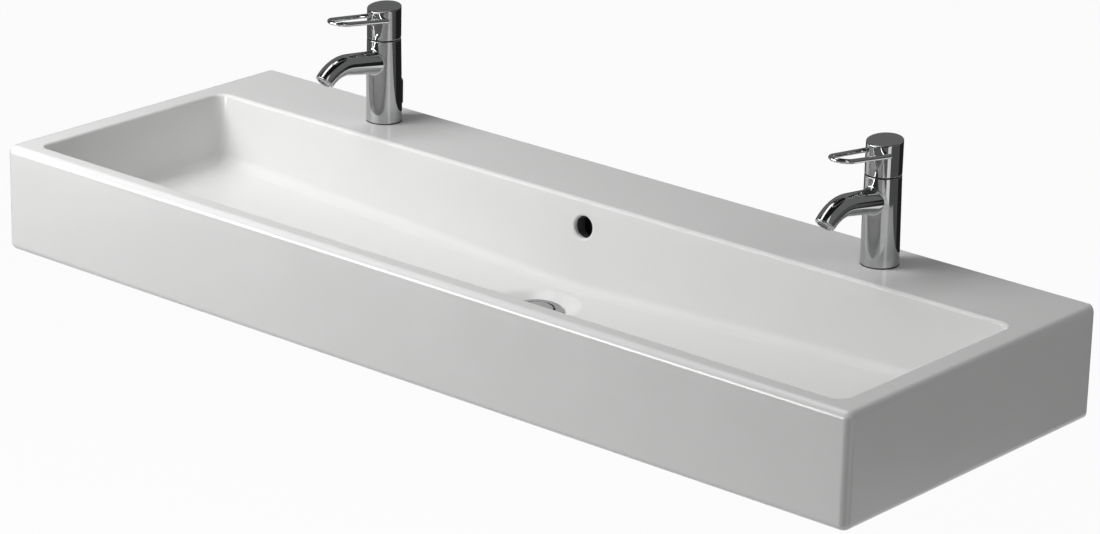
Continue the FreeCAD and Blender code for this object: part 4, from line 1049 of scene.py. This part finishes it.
def make_fixings(sizes, basin):
    """Build the thread ridges under the tap nuts and on the waste tube, and the ribs on the tail's collar."""
    threads, ribs = thread_tree(), rib_tree()
    for side in SIDES:
        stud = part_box(f"{side}_mounting_stud")
        at = axis_of(stud, stud[0].z + sizes.stud_pitch / 2)
        grown(
            f"{side}_stud_thread", threads, at, "zinc_steel", Radius=sizes.stud_radius, Ridge=sizes.ridge,
            Pitch=sizes.stud_pitch, Count=sizes.stud_ridges)
    drain = drain_axis(basin)
    at = drain + Vector((0, 0, TAIL_HIGH.z + sizes.waste_pitch / 2))
    grown(
        "waste_tube_thread", threads, at, "chrome_plate", Radius=TUBE_RADIUS, Ridge=sizes.ridge,
        Pitch=sizes.waste_pitch, Count=sizes.waste_ridges)
    at = drain + Vector((0, 0, TAIL_HIGH.z - COLLAR / 2))
    grown(
        "tail_grip_ribs", ribs, at, "chrome_plate", Radius=TAIL_HIGH.x, Rib=sizes.rib,
        Height=RIB_SHARE * COLLAR, Count=sizes.ribs)


def dress_nodes():
    """Give every node that still shows its finish."""
    for name, item in frame["nodes"].items():
        if item.hide_render:
            continue
        if not item.material_slots:
            item.data.materials.append(None)
        for slot in item.material_slots:
            slot.material = FINISHES[SLOT_OF[name]]


# Floor, light and camera
FLOOR_REACH = 30.0
FLOOR_COLOUR = (0.82, 0.82, 0.82, 1)
FLOOR_WHITENESS = 0.95
DRAPE_RADIUS = 2.0
DRAPE_MIDDLE = 0.3
DRAPE_TOP = 2.7
STRIP_RADIUS = 0.95 * DRAPE_RADIUS
# Drapes and a strip of light: brightness, and where they start and end in degrees
LOW_DRAPES = {
    "drape_right": (0.1, -12, 41),
    "drape_back": (0.02, 41, 160),
    "drape_left": (0.12, 160, 228),
    "drape_front": (0.14, 228, 332),
}
HIGH_DRAPES = {"drape_above_back": (0.18, -12, 190), "drape_above_front": (0.07, 190, 332)}
STRIP_LIGHT = (10.0, 215, 262)
STRIP_LOW, STRIP_HIGH = -0.25, 0.4
# Level cards overhead: brightness, front left and back right corners, and height
CEILING_CARDS = {
    "ceiling": (0.012, (-2.1, -2.1), (2.1, 2.1), DRAPE_TOP),
    "ceiling_light": (2.0, (-1.4, -1.5), (-0.4, 0.7), 2.6),
}
# Lamps: place, the spot they point at, and size
KEY_LAMP = ((-1.1, -1.35, 1.45), (-0.7, -0.2, 0.0), 1.3)
FILL_LAMP = ((2.2, 0.2, 1.6), (0.2, -0.2, 0.0), 1.2)


def seen_directly(tree):
    """Return a value that is 1 for rays from the camera, from mirrors and through glass."""
    path = add_node(tree, "ShaderNodeLightPath").outputs
    seen = path["Is Camera Ray"]
    for name in ("Is Glossy Ray", "Is Transmission Ray"):
        seen = add_node(tree, "ShaderNodeMath", {0: seen, 1: path[name]}, operation="MAXIMUM").outputs[0]
    return seen


def blend(tree, share, first, second, output):
    """Mix two shaders and link the result to the tree's output."""
    mix = add_node(tree, "ShaderNodeMixShader", {0: share, 1: first.outputs[0], 2: second.outputs[0]})
    tree.links.new(mix.outputs[0], tree.nodes[output].inputs["Surface"])


def make_world(settings):
    """Light from all around, seen as white."""
    world = bpy.data.worlds.new("studio")
    bpy.context.scene.world = world
    world.use_nodes = True
    tree = world.node_tree
    soft = tree.nodes["Background"]
    soft.inputs["Color"].default_value = WHITE
    soft.inputs["Strength"].default_value = settings.ambient
    white = add_node(tree, "ShaderNodeBackground", {"Color": WHITE})
    blend(tree, seen_directly(tree), soft, white, "World Output")


def make_floor(settings):
    """A pale floor that the camera sees as nearly white."""
    bm = bmesh.new()
    bmesh.ops.create_grid(bm, x_segments=1, y_segments=1, size=FLOOR_REACH)
    bmesh.ops.translate(bm, vec=(0, 0, settings.floor), verts=bm.verts)
    floor = solid("floor", bm)
    material, tree = new_material("pale_floor")
    matt = tree.nodes["Principled BSDF"]
    matt.inputs["Base Color"].default_value = FLOOR_COLOUR
    matt.inputs["Roughness"].default_value = 0.9
    glow = add_node(tree, "ShaderNodeEmission")
    inputs = {0: seen_directly(tree), 1: FLOOR_WHITENESS}
    share = add_node(tree, "ShaderNodeMath", inputs, operation="MULTIPLY")
    blend(tree, share.outputs[0], matt, glow, "Material Output")
    floor.data.materials.append(material)


def for_mirrors(item, brightness):
    """Give a card one even brightness and hide it from everything but mirrors."""
    material, tree = new_material(item.name)
    glow = add_node(tree, "ShaderNodeEmission", {"Color": WHITE, "Strength": brightness})
    tree.links.new(glow.outputs[0], tree.nodes["Material Output"].inputs["Surface"])
    item.data.materials.append(material)
    item.visible_camera = False
    item.visible_diffuse = False
    item.visible_shadow = False
    item.visible_transmission = False


def make_drape(name, brightness, start, end, low, high, radius=DRAPE_RADIUS):
    """A curved drape that stands around the stage from one direction to another."""
    bm = bmesh.new()
    steps = 24
    foot = [bm.verts.new((x, y, low)) for x, y in arc(0, 0, radius, start, end, steps)]
    head = [bm.verts.new((vert.co.x, vert.co.y, high)) for vert in foot]
    for index in range(steps):
        bm.faces.new((foot[index], foot[index + 1], head[index + 1], head[index]))
    for_mirrors(solid(name, bm), brightness)


def make_card(name, brightness, front_left, back_right, height):
    """A level rectangle above the stage."""
    bm = bmesh.new()
    left, front = front_left
    right, back = back_right
    corners = ((left, front), (right, front), (right, back), (left, back))
    bm.faces.new([bm.verts.new((x, y, height)) for x, y in corners])
    for_mirrors(solid(name, bm), brightness)


def make_lamp(name, power, at, target, size):
    """A soft square light that mirrors do not see."""
    light = bpy.data.lights.new(name, "AREA")
    light.size = size
    light.energy = power
    lamp = new_object(name, light)
    lamp.location = at
    lamp.visible_glossy = False
    lamp.rotation_euler = (Vector(target) - Vector(at)).to_track_quat("-Z", "Y").to_euler()


def make_camera(settings):
    """A camera that looks down at the basin from its front right."""
    turn, lift, roll = settings.azimuth, settings.elevation, settings.roll
    level = Vector((math.cos(turn), math.sin(turn), 0))
    back = Vector((math.sin(turn) * math.cos(lift), -math.cos(turn) * math.cos(lift), math.sin(lift)))
    upright = back.cross(level)
    right = math.cos(roll) * level + math.sin(roll) * upright
    up = math.cos(roll) * upright - math.sin(roll) * level
    data = bpy.data.cameras.new("camera")
    data.lens = settings.lens
    data.sensor_width = 36.0
    data.clip_end = 100.0
    camera = new_object("camera", data)
    pose = Matrix((right, up, back)).transposed().to_4x4()
    pose.translation = settings.place
    camera.matrix_world = pose
    bpy.context.scene.camera = camera


# Operators
class WASHBASIN_OT_finishes(bpy.types.Operator):
    """Make the materials"""
    bl_idname = "washbasin.finishes"
    bl_label = "Finishes"

    def execute(self, context):
        make_finishes(context.scene.washbasin.finish)
        return {"FINISHED"}


class WASHBASIN_OT_basin(bpy.types.Operator):
    """Build the ceramic basin"""
    bl_idname = "washbasin.basin"
    bl_label = "Basin"

    def execute(self, context):
        make_basin(context.scene.washbasin.basin)
        return {"FINISHED"}


class WASHBASIN_OT_waste(bpy.types.Operator):
    """Build the waste's flange and plug"""
    bl_idname = "washbasin.waste"
    bl_label = "Waste"

    def execute(self, context):
        make_waste(context.scene.washbasin.basin)
        return {"FINISHED"}


class WASHBASIN_OT_taps(bpy.types.Operator):
    """Build the columns and spouts of both taps"""
    bl_idname = "washbasin.taps"
    bl_label = "Taps"

    def execute(self, context):
        for side in SIDES:
            make_tap(side, context.scene.washbasin.tap)
        return {"FINISHED"}


class WASHBASIN_OT_levers(bpy.types.Operator):
    """Build the levers and lift knobs of both taps"""
    bl_idname = "washbasin.levers"
    bl_label = "Levers"

    def execute(self, context):
        for side in SIDES:
            make_lever(side, context.scene.washbasin.lever)
            make_knob(side, context.scene.washbasin.lever)
        return {"FINISHED"}


class WASHBASIN_OT_fixings(bpy.types.Operator):
    """Build the threads and ribs underneath, and finish the nodes that still show"""
    bl_idname = "washbasin.fixings"
    bl_label = "Fixings"

    def execute(self, context):
        settings = context.scene.washbasin
        make_fixings(settings.fixing, settings.basin)
        dress_nodes()
        return {"FINISHED"}


class WASHBASIN_OT_stage(bpy.types.Operator):
    """Set the floor, the light and the camera"""
    bl_idname = "washbasin.stage"
    bl_label = "Stage"

    def execute(self, context):
        settings = context.scene.washbasin.stage
        context.scene.view_settings.view_transform = "Standard"
        make_world(settings)
        make_floor(settings)
        make_lamp("key", settings.key, *KEY_LAMP)
        make_lamp("fill", settings.fill, *FILL_LAMP)
        for name, look in LOW_DRAPES.items():
            make_drape(name, *look, settings.floor, DRAPE_MIDDLE)
        for name, look in HIGH_DRAPES.items():
            make_drape(name, *look, DRAPE_MIDDLE, DRAPE_TOP)
        make_drape("strip_light", *STRIP_LIGHT, STRIP_LOW, STRIP_HIGH, STRIP_RADIUS)
        for name, look in CEILING_CARDS.items():
            make_card(name, *look)
        make_camera(settings)
        return {"FINISHED"}


class WASHBASIN_PT_panel(bpy.types.Panel):
    """Lists the washbasin's operators and settings"""
    bl_idname = "WASHBASIN_PT_panel"
    bl_label = "Washbasin"
    bl_space_type = "VIEW_3D"
    bl_region_type = "UI"
    bl_category = "Washbasin"

    def draw(self, context):
        for operator in OPERATORS:
            self.layout.operator(operator.bl_idname)
        settings = context.scene.washbasin
        for part in WashbasinSettings.__annotations__:
            group = getattr(settings, part)
            section = self.layout.box()
            for name in group.__annotations__:
                section.prop(group, name)


GROUPS = (BasinSizes, TapSizes, LeverSizes, FixingSizes, FinishColours, StageSettings, WashbasinSettings)
OPERATORS = (
    WASHBASIN_OT_finishes, WASHBASIN_OT_basin, WASHBASIN_OT_waste, WASHBASIN_OT_taps, WASHBASIN_OT_levers,
    WASHBASIN_OT_fixings, WASHBASIN_OT_stage,
)


def register():
    for item in GROUPS + OPERATORS + (WASHBASIN_PT_panel,):
        bpy.utils.register_class(item)
    bpy.types.Scene.washbasin = PointerProperty(type=WashbasinSettings)


def unregister():
    del bpy.types.Scene.washbasin
    for item in reversed(GROUPS + OPERATORS + (WASHBASIN_PT_panel,)):
        bpy.utils.unregister_class(item)


def main():
    register()
    bpy.ops.washbasin.finishes()
    bpy.ops.washbasin.basin()
    bpy.ops.washbasin.waste()
    bpy.ops.washbasin.taps()
    bpy.ops.washbasin.levers()
    bpy.ops.washbasin.fixings()
    bpy.ops.washbasin.stage()


if __name__ == "__main__":
    main()
